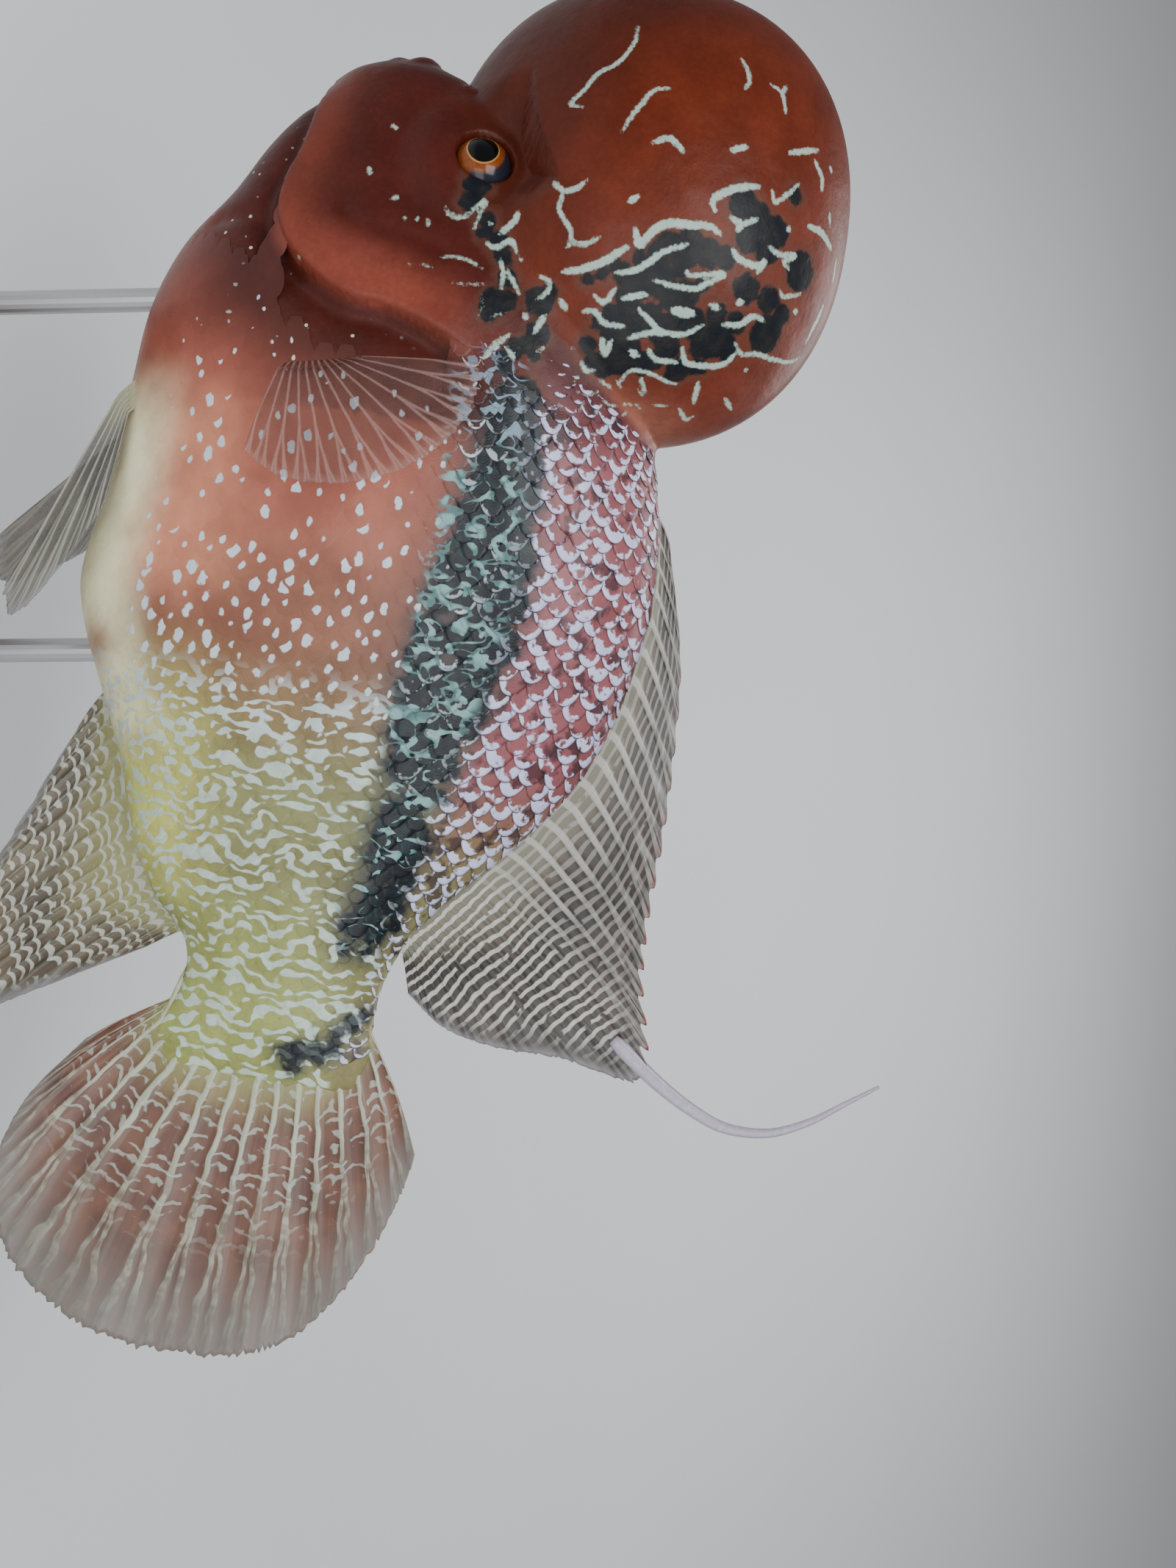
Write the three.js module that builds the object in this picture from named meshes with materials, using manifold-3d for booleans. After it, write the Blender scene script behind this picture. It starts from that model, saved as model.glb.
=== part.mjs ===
// A flowerhorn cichlid as a life-size display model, swimming head-up over a flat base with two rods.
// Millimetres. +X runs towards the tail, -Y is the fish's left side, +Z is up.
// The origin is the middle of the base's underside.
// The fish is drawn straight and level, then bent sideways, pitched and lifted onto its rods.
import * as THREE from "three";
import { mergeVertices } from "three/addons/utils/BufferGeometryUtils.js";
import Module from "manifold-3d";

const wasm = await Module();
wasm.setup();

const DEGREE = Math.PI / 180;
const LEFT = -1;
const RIGHT = 1;
const GAP = 0.32; // between a piece and what it grows from
const GROWN = 0.36; // how far a neighbour is grown before it cuts a piece

// The pose: how the straight fish is bent, pitched and held.
const PITCH = 9 * DEGREE; // head up
const LIFT = 121; // height of the fish's own origin above the floor
const SHIFT = 42; // puts the fish's weight over the base
const BEND_FROM = -30; // the body is straight here, and turns away both ways
const HEAD_BEND = 0.00085; // sideways mm per squared mm ahead of that place, to the right
const TAIL_BEND = 0.00042; // the same behind it, to the left

// Body, along its own axis.
const SNOUT = -139.5;
const SNOUT_HEIGHT = -13;
const SNOUT_ROUND = 11; // length over which the snout rounds off
const HEAD_END = -64;
const TRUNK_END = 40;
const STALK_END = 76;

// Pairs of [x, value]. The section at x reaches from the belly to the back.
const back = through([
  [-139.5, -6], [-133, -1], [-125, 7], [-114, 19], [-100, 30], [-85, 40.5], [-70, 48], [-58, 52], [-42, 55],
  [-28, 55.8], [-14, 54], [0, 50.5], [12, 45.2], [24, 36.6], [36, 25.6], [46, 17.4], [55, 12.5], [65, 10.6],
  [76, 11.4],
]);
const belly = through([
  [-139.5, -21], [-134, -26.5], [-126, -34], [-114, -42], [-102, -48.2], [-90, -56.4], [-76, -61.2],
  [-60, -62.6], [-40, -64], [-18, -67.4], [-7, -65], [4, -60.2], [20, -53], [38, -46.6], [48, -40.8],
  [56, -33], [64, -31.4], [76, -35.6],
]);
const halfWidth = through([
  [-139.5, 11], [-133, 15.5], [-125, 19.5], [-114, 23.6], [-102, 26.4], [-88, 29], [-70, 30.4], [-50, 30.2],
  [-28, 28.6], [-8, 25.6], [10, 21.4], [28, 16.4], [44, 11.8], [58, 8], [76, 4.2],
]);
const widest = through([[-139.5, -13], [-118, -11], [-90, -9], [-60, -6], [-20, -8], [20, -9], [76, -12]]);
const upperSquareness = through([[-139.5, 2.3], [-114, 2.9], [-85, 2.4], [-55, 2], [76, 2]]);
const LOWER_SQUARENESS = 2.2;
const AROUND = 28; // points round a section of the body
const STATIONS = { nose: 5, head: 9, trunk: 15, stalk: 7 };

// The nuchal hump: a ball on the forehead and nape, overhanging both.
const HUMP = { x: -111.5, z: 39, ahead: 52.5, behind: 49.5, above: 46, below: 44, wide: 33.5 };
const HUMP_PROFILE_SQUARENESS = 2.25;
const HUMP_WIDTH_SQUARENESS = 1.85;
const HUMP_MESH = { around: 26, across: 12 };

const EYE = {
  x: -111, z: 8.4, radius: 6.3, depth: 5.2, proud: 2.6, rimRadius: 6.84, rimThick: 1.17, clear: 0.9,
};
const NOSTRIL = { x: -127, z: 1.2, radius: 1.5 };
const MOUTH = {
  corner: -127.5, cornerWidth: 12.5, front: -136.9, lip: 3.3, taper: 0.55, gape: 2.8, cornerDrop: 2.5,
};
const GILL_COVER = {
  x: -98, z: -12, tilt: 30 * DEGREE, ahead: 12, behind: 14, above: 27, below: 27,
  middle: 1.3, frontEdge: 0.5, rearEdge: 1.9,
};

// Fins. A ray is a ridge between two stretches of thinner membrane, and both thin out towards the edge.
const MEDIAN = { root: 2.2, ray: 1.6, membrane: 0.7, notch: 0.045, thinning: 0.55, bulge: 0.06 };
const TAIL_ROOT = 5;
const PECTORAL = { root: 1.4, ray: 1.2, membrane: 0.6 };
const PELVIC = { root: 1.5, ray: 1.3, membrane: 0.65 };
const PAIRED = { notch: 0.07, thinning: 0.5 };

const BASE = { length: 156, width: 88, thickness: 9, corner: 16, chamfer: 1.2 };
const ROD = { radius: 2.6, into: 6, around: 16 }; // into: how far it would reach into the body, uncut
const RODS = { stand_rod_front: -80, stand_rod_rear: -2 }; // place along the fish

// A smooth curve through [x, value] pairs, as a function of x.
function through(pairs) {
  const slope = (i) => {
    const before = pairs[Math.max(i - 1, 0)];
    const after = pairs[Math.min(i + 1, pairs.length - 1)];
    return (after[1] - before[1]) / (after[0] - before[0]);
  };
  return (x) => {
    const at = Math.min(Math.max(x, pairs[0][0]), pairs[pairs.length - 1][0]);
    const i = Math.max(0, Math.min(pairs.findIndex((p) => p[0] >= at) - 1, pairs.length - 2));
    const [[x0, y0], [x1, y1]] = [pairs[i], pairs[i + 1]];
    const h = x1 - x0;
    const t = (at - x0) / h;
    return (
      y0 * (1 + 2 * t) * (1 - t) ** 2 +
      slope(i) * h * t * (1 - t) ** 2 +
      y1 * t * t * (3 - 2 * t) +
      slope(i + 1) * h * t * t * (t - 1)
    );
  };
}

const signedPower = (value, power) => Math.sign(value) * Math.abs(value) ** power;
const mix = THREE.MathUtils.lerp;
const vec = (x, y, z) => new THREE.Vector3(x, y, z);

// Closed solids from points

// Rings of equally many points, one after another, closed at both ends by a fan round the ring's middle.
function loft(rings) {
  const around = rings[0].length;
  const points = rings.flat();
  const triangles = [];
  for (let r = 0; r + 1 < rings.length; r++) {
    for (let i = 0; i < around; i++) {
      const [a, b] = [r * around + i, r * around + ((i + 1) % around)];
      triangles.push([a, b, b + around], [a, b + around, a + around]);
    }
  }
  const last = rings.length - 1;
  [[0, 1], [last, -1]].forEach(([r, turn]) => {
    const start = r * around;
    const middle = rings[r].reduce((sum, p) => sum.add(p), vec(0, 0, 0)).divideScalar(around);
    const centre = points.push(middle) - 1;
    for (let i = 0; i < around; i++) {
      const [a, b] = [start + i, start + ((i + 1) % around)];
      triangles.push(turn > 0 ? [centre, b, a] : [centre, a, b]);
    }
  });
  return { points, triangles };
}

// A sheet of columns by rows, with both faces split alike.
// place gives its middle and half its thickness as a vector.
function sheet(columns, rows, place) {
  const points = [];
  for (const side of [1, -1]) {
    for (let c = 0; c < columns; c++) {
      for (let r = 0; r < rows; r++) {
        const { middle, half } = place(c, r);
        points.push(middle.clone().addScaledVector(half, side));
      }
    }
  }
  const under = columns * rows;
  const at = (c, r) => c * rows + r;
  const triangles = [];
  const quad = (a, b, c, d) => triangles.push([a, b, c], [a, c, d]);
  for (let c = 0; c + 1 < columns; c++) {
    for (let r = 0; r + 1 < rows; r++) {
      const [p, q, s, t] = [at(c, r), at(c + 1, r), at(c + 1, r + 1), at(c, r + 1)];
      quad(p, q, s, t);
      triangles.push([p + under, s + under, q + under], [p + under, t + under, s + under]);
    }
  }
  for (let c = 0; c + 1 < columns; c++) {
    quad(at(c, 0) + under, at(c + 1, 0) + under, at(c + 1, 0), at(c, 0));
    quad(at(c, rows - 1), at(c + 1, rows - 1), at(c + 1, rows - 1) + under, at(c, rows - 1) + under);
  }
  const last = columns - 1;
  for (let r = 0; r + 1 < rows; r++) {
    quad(at(0, r), at(0, r + 1), at(0, r + 1) + under, at(0, r) + under);
    quad(at(last, r) + under, at(last, r + 1) + under, at(last, r + 1), at(last, r));
  }
  return { points, triangles };
}

function geometryOf({ points, triangles }) {
  const geometry = new THREE.BufferGeometry().setFromPoints(points);
  return geometry.setIndex(triangles.flat());
}

// A closed geometry as a solid, facing out whichever way it was wound.
function solidOf(geometry) {
  const bare = geometry.clone();
  bare.deleteAttribute("normal");
  bare.deleteAttribute("uv");
  const merged = mergeVertices(bare, 1e-4);
  const vertProperties = merged.attributes.position.array;
  const triVerts = new Uint32Array(merged.index.array);
  const make = () => new wasm.Manifold(new wasm.Mesh({ numProp: 3, vertProperties, triVerts }));
  if (make().volume() < 0) {
    for (let i = 0; i < triVerts.length; i += 3) {
      [triVerts[i], triVerts[i + 1]] = [triVerts[i + 1], triVerts[i]];
    }
  }
  return make();
}

const solid = (surface) => solidOf(geometryOf(surface));

// The largest closed surface of a solid, as a geometry.
function geometryFrom(manifold) {
  const [largest] = manifold.decompose().sort((a, b) => b.volume() - a.volume());
  const mesh = largest.getMesh();
  const positions = new THREE.BufferAttribute(new Float32Array(mesh.vertProperties), 3);
  return new THREE.BufferGeometry().setAttribute("position", positions).setIndex(Array.from(mesh.triVerts));
}

// The pose

function bent(p) {
  const away = p.x - BEND_FROM;
  const rate = away < 0 ? HEAD_BEND : -TAIL_BEND;
  const slope = 2 * rate * away;
  const length = Math.hypot(1, slope);
  return vec(p.x - (p.y * slope) / length, rate * away * away + p.y / length, p.z);
}

function bentGeometry(geometry) {
  const made = geometry.clone();
  const position = made.attributes.position;
  for (let i = 0; i < position.count; i++) {
    const p = bent(vec(position.getX(i), position.getY(i), position.getZ(i)));
    position.setXYZ(i, p.x, p.y, p.z);
  }
  return made;
}

const fish = new THREE.Group();
fish.rotation.y = PITCH;
fish.position.set(SHIFT, 0, LIFT);
fish.updateMatrixWorld(true);

// The body's surface

function snoutRound(x) {
  const t = Math.min(1, Math.max(0, (x - SNOUT) / SNOUT_ROUND));
  return Math.sqrt(1 - (1 - t) ** 2);
}

function section(x, around, grown = 0) {
  const round = snoutRound(x);
  return Array.from({ length: around }, (_, i) => {
    const angle = (i / around) * 2 * Math.PI;
    const [c, s] = [Math.cos(angle), Math.sin(angle)];
    const power = 2 / (s > 0 ? upperSquareness(x) : LOWER_SQUARENESS);
    const height = s > 0 ? back(x) - widest(x) + grown : widest(x) - belly(x) + grown;
    const y = (halfWidth(x) + grown) * signedPower(c, power) * round;
    const z = widest(x) + height * signedPower(s, power);
    return vec(x, y, mix(SNOUT_HEIGHT, z, round));
  });
}

// Half width of the body at a place, behind the snout's round.
function flank(x, z) {
  const height = z > widest(x) ? back(x) - widest(x) : widest(x) - belly(x);
  const power = z > widest(x) ? upperSquareness(x) : LOWER_SQUARENESS;
  const share = Math.min(1, Math.abs(z - widest(x)) / height);
  return halfWidth(x) * (1 - share ** power) ** (1 / power);
}

// A point on the flank of one side with its outward normal.
function onFlank(x, z, side) {
  const step = 0.5;
  const alongX = (flank(x + step, z) - flank(x - step, z)) / (2 * step);
  const alongZ = (flank(x, z + step) - flank(x, z - step)) / (2 * step);
  return {
    point: vec(x, side * flank(x, z), z),
    normal: vec(-alongX, side, -alongZ).normalize(),
  };
}

const steps = (from, to, count) => Array.from({ length: count + 1 }, (_, i) => mix(from, to, i / count));

function bodyPart(from, to, count, around, grown = 0) {
  return solid(loft(steps(from, to, count).map((x) => section(x, around, grown))));
}

function headStations() {
  const round = (t) => SNOUT + SNOUT_ROUND * (1 - Math.cos((t * Math.PI) / 2));
  const nose = steps(0.2, 1, STATIONS.nose).map(round);
  return [...nose, ...steps(SNOUT + SNOUT_ROUND, HEAD_END - GAP / 2, STATIONS.head).slice(1)];
}

function lowHead(around, grown = 0) {
  return solid(loft(headStations().map((x) => section(x, around, grown))));
}

// Mouth, eyes, nostrils and gill covers

function taperedTube(path, radii, around, aside = vec(0, 0, 1)) {
  const rings = path.map((p, i) => {
    const along = path[Math.min(i + 1, path.length - 1)].clone().sub(path[Math.max(i - 1, 0)]).normalize();
    const across = aside.clone().cross(along).normalize();
    const up = along.clone().cross(across);
    return Array.from({ length: around }, (_, k) => {
      const angle = (k / around) * 2 * Math.PI;
      const offset = across.clone().multiplyScalar(Math.cos(angle)).addScaledVector(up, Math.sin(angle));
      return p.clone().addScaledVector(offset, radii[i]);
    });
  });
  return solid(loft(rings));
}

// One lip, from corner to corner round the front of the snout.
function lip(rise, forward) {
  const turns = steps(-1, 1, 12);
  const path = turns.map((t) => {
    const turn = (t * Math.PI) / 2;
    const ahead = Math.max(0, Math.cos(turn));
    const x = mix(MOUTH.corner, MOUTH.front - forward, ahead);
    const z = SNOUT_HEIGHT - MOUTH.cornerDrop * (1 - ahead) + rise * Math.sqrt(ahead);
    return vec(x, MOUTH.cornerWidth * Math.sin(turn), z);
  });
  return taperedTube(path, turns.map((t) => MOUTH.lip * (1 - MOUTH.taper * t ** 4)), 9);
}

function turnedTo(normal) {
  return new THREE.Matrix4().makeRotationFromQuaternion(
    new THREE.Quaternion().setFromUnitVectors(vec(0, 0, 1), normal),
  );
}

function eyePlace(side) {
  const { point, normal } = onFlank(EYE.x, EYE.z, side);
  return { centre: point.clone().addScaledVector(normal, EYE.proud - EYE.depth), normal, point };
}

function eyeBall(side, grown = 0) {
  const { centre, normal } = eyePlace(side);
  const ball = new THREE.SphereGeometry(1, 14, 9);
  ball.rotateX(Math.PI / 2);
  ball.scale(EYE.radius + grown, EYE.radius + grown, EYE.depth + grown);
  ball.applyMatrix4(turnedTo(normal));
  return ball.translate(centre.x, centre.y, centre.z);
}

function eyeRim(side, grown = 0) {
  const { point, normal } = eyePlace(side);
  const rim = new THREE.TorusGeometry(EYE.rimRadius, EYE.rimThick + grown, 6, 18);
  rim.applyMatrix4(turnedTo(normal));
  return solidOf(rim.translate(point.x, point.y, point.z));
}

function nostril(side) {
  const { point } = onFlank(NOSTRIL.x, NOSTRIL.z, side);
  return solidOf(new THREE.SphereGeometry(NOSTRIL.radius, 8, 6).translate(point.x, point.y, point.z));
}

function head() {
  let made = lowHead(AROUND).add(lip(MOUTH.gape, 0)).add(lip(-MOUTH.gape, -1));
  for (const side of [LEFT, RIGHT]) {
    made = made.add(eyeRim(side)).subtract(solidOf(eyeBall(side, GAP))).subtract(nostril(side));
  }
  return geometryFrom(made);
}

function hump() {
  const { around, across } = HUMP_MESH;
  const rings = steps(-1, 1, across).slice(1, -1).map((t) => {
    const latitude = (t * Math.PI) / 2;
    const radius = Math.cos(latitude) ** (2 / HUMP_WIDTH_SQUARENESS);
    const y = HUMP.wide * signedPower(Math.sin(latitude), 2 / HUMP_WIDTH_SQUARENESS);
    return Array.from({ length: around }, (_, i) => {
      const angle = (i / around) * 2 * Math.PI;
      const along = signedPower(Math.cos(angle), 2 / HUMP_PROFILE_SQUARENESS) * radius;
      const up = signedPower(Math.sin(angle), 2 / HUMP_PROFILE_SQUARENESS) * radius;
      return vec(
        HUMP.x + along * (along < 0 ? HUMP.ahead : HUMP.behind),
        y,
        HUMP.z + up * (up > 0 ? HUMP.above : HUMP.below),
      );
    });
  });
  const nape = bodyPart(HEAD_END - 2, 0, 10, AROUND, GROWN);
  let made = solid(loft(rings)).subtract(lowHead(AROUND, GROWN)).subtract(nape);
  for (const side of [LEFT, RIGHT]) {
    made = made.subtract(eyeRim(side, EYE.clear / 2)).subtract(solidOf(eyeBall(side, EYE.clear)));
  }
  return geometryFrom(made);
}

// The gill cover is a plate lying on the cheek, thickest along its free rear edge.
function gillCover(side) {
  const around = 20;
  const rings = 4;
  const reach = (angle) => {
    const [c, s] = [Math.cos(angle), Math.sin(angle)];
    const along = c * (c > 0 ? GILL_COVER.behind : GILL_COVER.ahead);
    const up = s * (s > 0 ? GILL_COVER.above : GILL_COVER.below);
    return [
      along * Math.cos(GILL_COVER.tilt) + up * Math.sin(GILL_COVER.tilt),
      up * Math.cos(GILL_COVER.tilt) - along * Math.sin(GILL_COVER.tilt),
    ];
  };
  const points = [];
  const layer = (height) => {
    for (let r = 1; r <= rings; r++) {
      for (let i = 0; i < around; i++) {
        const angle = (i / around) * 2 * Math.PI;
        const [dx, dz] = reach(angle);
        const share = r / rings;
        const { point, normal } = onFlank(GILL_COVER.x + dx * share, GILL_COVER.z + dz * share, side);
        points.push(point.addScaledVector(normal, height(share, angle)));
      }
    }
    const { point, normal } = onFlank(GILL_COVER.x, GILL_COVER.z, side);
    points.push(point.addScaledVector(normal, height(0, 0)));
  };
  const rim = (angle) => mix(GILL_COVER.frontEdge, GILL_COVER.rearEdge, (1 + Math.cos(angle)) / 2);
  layer(() => GROWN);
  layer((share, angle) => GROWN + mix(GILL_COVER.middle, rim(angle), share ** 2));
  const under = rings * around + 1;
  const triangles = [];
  const pair = (a, b, c) => triangles.push([a, b, c], [a + under, c + under, b + under]);
  for (let i = 0; i < around; i++) {
    const next = (i + 1) % around;
    pair(under - 1, next, i);
    for (let r = 0; r + 1 < rings; r++) {
      pair(r * around + i, r * around + next, (r + 1) * around + next);
      pair(r * around + i, (r + 1) * around + next, (r + 1) * around + i);
    }
    const [a, b] = [(rings - 1) * around + i, (rings - 1) * around + next];
    triangles.push([a, b, b + under], [a, b + under, a + under]);
  }
  return geometryFrom(solid({ points, triangles }));
}

// Fins: a membrane with a ridge along each ray

// keys are [base place, tip x, tip z] for a few rays, and the rays between them are spread evenly.
function medianFin({ keys, rays, rows, root, sway, rootThick = MEDIAN.root }) {
  const places = keys.map((_, i) => i / (keys.length - 1));
  const baseAt = through(keys.map((key, i) => [places[i], key[0]]));
  const tipX = through(keys.map((key, i) => [places[i], key[1]]));
  const tipZ = through(keys.map((key, i) => [places[i], key[2]]));
  const columns = 2 * rays - 1;
  return sheet(columns, rows, (c, r) => {
    const u = c / (columns - 1);
    const isRay = c % 2 === 0;
    const t = (r / (rows - 1)) * (isRay ? 1 : 1 - MEDIAN.notch);
    const from = root(baseAt(u));
    const x = mix(from.x, tipX(u), t);
    const z = mix(from.z, tipZ(u), t) + MEDIAN.bulge * Math.sin(Math.PI * t) * (tipZ(u) - from.z);
    const outer = isRay ? MEDIAN.ray : MEDIAN.membrane;
    const thick = mix(rootThick, outer, Math.min(1, t * 5)) * (1 - MEDIAN.thinning * t * t);
    return { middle: vec(x, sway(x, t, c), z), half: vec(0, thick / 2, 0) };
  });
}

const DORSAL_KEYS = [
  [-49, -43, 57.5], [-36, -19, 63.6], [-20, 1, 65.4], [-4, 20, 65.9], [10, 37, 65.6], [22, 51, 66.6],
  [31, 65, 69.8], [37.5, 71.5, 67.5], [42.5, 69, 52], [46.5, 69, 38], [49.5, 66.5, 26], [51.5, 60.5, 17.4],
];
const FILAMENT = [
  [63, 62], [67.5, 68], [71.5, 74], [75, 80.5], [77.6, 88], [77.2, 97], [73.6, 105], [68.5, 112],
  [63.8, 118.4],
];
const FILAMENT_RADII = [1.7, 0.5];

function dorsalFin() {
  const sway = (x, t) => 3.2 * t * Math.sin((x + 40) / 19) * Math.min(1, Math.max(0, (x + 30) / 60));
  const fin = medianFin({
    keys: DORSAL_KEYS,
    rays: 25,
    rows: 7,
    root: (x) => ({ x, z: back(x) + GAP }),
    sway,
  });
  const line = new THREE.CatmullRomCurve3(FILAMENT.map(([x, z]) => vec(x, sway(x, 0.95), z)));
  const path = line.getPoints(14);
  const radii = path.map((_, i) => mix(...FILAMENT_RADII, i / (path.length - 1)));
  return geometryFrom(solid(fin).add(taperedTube(path, radii, 7, vec(0, 1, 0))));
}

const ANAL_KEYS = [
  [6.5, 13, -62.8], [12, 29, -69], [19, 46.5, -76], [27, 64, -84], [35, 80, -91.5], [41, 90.5, -95.5],
  [46, 83.5, -81.5], [50, 74, -65], [53, 65, -49.5], [55, 59.5, -40],
];

function analFin() {
  return geometryFrom(
    solid(
      medianFin({
        keys: ANAL_KEYS,
        rays: 17,
        rows: 7,
        root: (x) => ({ x, z: belly(x) - GAP }),
        sway: (x, t) => -2.6 * t * t * Math.sin((x - 10) / 24),
      }),
    ),
  );
}

// The tail fin's keys give the height of each ray's base on the end of the tail stalk.
const CAUDAL_KEYS = [
  [10.2, 94, 24.6], [7.5, 108, 21.4], [4, 123, 14.8], [-1, 135, 5.6], [-6.5, 140.6, -5],
  [-12.5, 142.4, -17], [-18.5, 142, -30.5], [-24, 137.6, -46], [-28.5, 128, -58.6], [-31.5, 114, -64.2],
  [-33.4, 97, -61.2], [-34.7, 81, -49.8],
];

function caudalFin() {
  return geometryFrom(
    solid(
      medianFin({
        keys: CAUDAL_KEYS,
        rays: 17,
        rows: 8,
        root: (z) => ({ x: STALK_END + GAP / 2, z }),
        rootThick: TAIL_ROOT,
        sway: (x, t, c) => -2.4 * t * t + 0.5 * t * Math.sin(c * 0.9),
      }),
    ),
  );
}

// A paired fin fans out from a short base line on the flank.
// Its angles are degrees up from tailward, in the fin's own plane.
function pairedFin({ side, base, angles, lengths, lean, rays, rows, thick, curl }) {
  const columns = 2 * rays - 1;
  const lengthAt = through(lengths.map((length, i) => [i / (lengths.length - 1), length]));
  return sheet(columns, rows, (c, r) => {
    const u = c / (columns - 1);
    const isRay = c % 2 === 0;
    const t = (r / (rows - 1)) * (isRay ? 1 : 1 - PAIRED.notch);
    const [x, z] = [0, 1].map((i) => mix(base[0][i], base[1][i], u));
    const { point, normal } = onFlank(x, z, side);
    const angle = mix(angles[0], angles[1], u) * DEGREE;
    const out = Math.sin(lean * DEGREE);
    const flat = Math.cos(lean * DEGREE);
    const along = vec(Math.cos(angle) * flat, side * out, Math.sin(angle) * flat);
    const middle = point.clone().addScaledVector(normal, GROWN + thick.root / 2);
    middle.addScaledVector(along, lengthAt(u) * t);
    middle.y += side * curl * t * t;
    const facing = vec(0, side, 0).addScaledVector(along, -side * along.y).normalize();
    const outer = isRay ? thick.ray : thick.membrane;
    const now = mix(thick.root, outer, Math.min(1, t * 4)) * (1 - PAIRED.thinning * t * t);
    return { middle, half: facing.multiplyScalar(now / 2) };
  });
}

function pectoralFin(side) {
  return geometryFrom(
    solid(
      pairedFin({
        side,
        base: [[-63, -24], [-65.5, -10]],
        angles: [-10, 90],
        lengths: [21, 26, 29, 32, 34, 34, 30],
        lean: 24,
        rays: 12,
        rows: 6,
        thick: PECTORAL,
        curl: -3,
      }),
    ),
  );
}

// The left pelvic fin trails along the belly, and the right one is spread further down.
function pelvicFin(side) {
  const trails = side === LEFT;
  return geometryFrom(
    solid(
      pairedFin({
        side,
        base: [[-60, -59.5], [-53.5, -57.5]],
        angles: trails ? [-18, -1] : [-48, -22],
        lengths: trails ? [53, 56, 43, 31, 21] : [54, 60, 47, 34, 22],
        lean: trails ? 11 : 15,
        rays: 6,
        rows: 7,
        thick: PELVIC,
        curl: 1,
      }),
    ),
  );
}

// The stand

function standBase() {
  const [x, y, r] = [BASE.length / 2, BASE.width / 2, BASE.corner];
  const outline = new THREE.Shape();
  outline.moveTo(x - r, -y);
  outline.absarc(x - r, r - y, r, -Math.PI / 2, 0);
  outline.absarc(x - r, y - r, r, 0, Math.PI / 2);
  outline.absarc(r - x, y - r, r, Math.PI / 2, Math.PI);
  outline.absarc(r - x, r - y, r, Math.PI, 1.5 * Math.PI);
  return new THREE.ExtrudeGeometry(outline, {
    depth: BASE.thickness - BASE.chamfer,
    bevelEnabled: true,
    bevelThickness: BASE.chamfer / 2,
    bevelSize: BASE.chamfer / 2,
    bevelOffset: -BASE.chamfer / 2,
    bevelSegments: 1,
    curveSegments: 7,
  }).translate(0, 0, BASE.chamfer / 2);
}

// A rod stands on the base and ends just under the belly, cut to its curve.
function standRod(place) {
  const underside = vec(place, 0, belly(place));
  const top = bent(underside).applyMatrix4(fish.matrixWorld);
  const bottom = BASE.thickness + GAP;
  const reach = top.z + ROD.into - bottom;
  const rod = new THREE.CylinderGeometry(ROD.radius, ROD.radius, reach, ROD.around).rotateX(Math.PI / 2);
  rod.translate(top.x, top.y, bottom + reach / 2);
  const body = bodyPart(place - 14, place + 14, 8, 40, GROWN);
  const posedBody = bentGeometry(geometryFrom(body)).applyMatrix4(fish.matrixWorld);
  return geometryFrom(solidOf(rod).subtract(solidOf(posedBody)));
}

// The whole model

function finish(color, roughness, metalness = 0) {
  return new THREE.MeshStandardMaterial({ color, roughness, metalness });
}

const materials = {
  face: finish(0xa5452f, 0.4),
  hump: finish(0xb04a2c, 0.35),
  flank: finish(0xc27a5c, 0.4),
  stalk: finish(0xa9a868, 0.45),
  fin: finish(0x8f8b76, 0.5),
  tailFin: finish(0x9c6f5b, 0.5),
  clearFin: finish(0xb9a79b, 0.4),
  eye: finish(0x1a0f08, 0.1),
  base: finish(0x5a3b26, 0.5),
  rod: finish(0xb5b8ba, 0.3, 1),
};

function meshOf(name, geometry, material) {
  const mesh = new THREE.Mesh(geometry, material);
  mesh.name = name;
  return mesh;
}

const trunk = bodyPart(HEAD_END + GAP / 2, TRUNK_END - GAP / 2, STATIONS.trunk, AROUND);
const stalk = bodyPart(TRUNK_END + GAP / 2, STALK_END - GAP / 2, STATIONS.stalk, AROUND);
const flesh = [
  ["head", head(), materials.face],
  ["nuchal_hump", hump(), materials.hump],
  ["trunk", geometryFrom(trunk), materials.flank],
  ["tail_stalk", geometryFrom(stalk), materials.stalk],
  ["dorsal_fin", dorsalFin(), materials.fin],
  ["anal_fin", analFin(), materials.fin],
  ["caudal_fin", caudalFin(), materials.tailFin],
];
for (const [word, side] of [["left", LEFT], ["right", RIGHT]]) {
  flesh.push(
    [`eye_${word}`, eyeBall(side), materials.eye],
    [`gill_cover_${word}`, gillCover(side), materials.face],
    [`pectoral_fin_${word}`, pectoralFin(side), materials.clearFin],
    [`pelvic_fin_${word}`, pelvicFin(side), materials.clearFin],
  );
}
for (const [name, geometry, material] of flesh) fish.add(meshOf(name, bentGeometry(geometry), material));

const model = new THREE.Group();
model.add(fish, meshOf("stand_base", standBase(), materials.base));
for (const [name, place] of Object.entries(RODS)) model.add(meshOf(name, standRod(place), materials.rod));

export default model;
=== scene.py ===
# A flowerhorn cichlid as a life-size display model: skin, scales, fins, eyes and stand over its solids.
# Shapes are worked out in millimetres, in the frame of a straight, level fish: +X tailward, +Z up, left -Y.
# They are then bent, pitched and lifted as the solids are. Places that are read from the photograph are
# given as its pixels, and are found on the skin by rays from the camera.
from types import SimpleNamespace

import bmesh
import bpy
import numpy as np
from mathutils import Matrix, Vector
from mathutils.bvhtree import BVHTree
from mathutils.kdtree import KDTree


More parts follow.
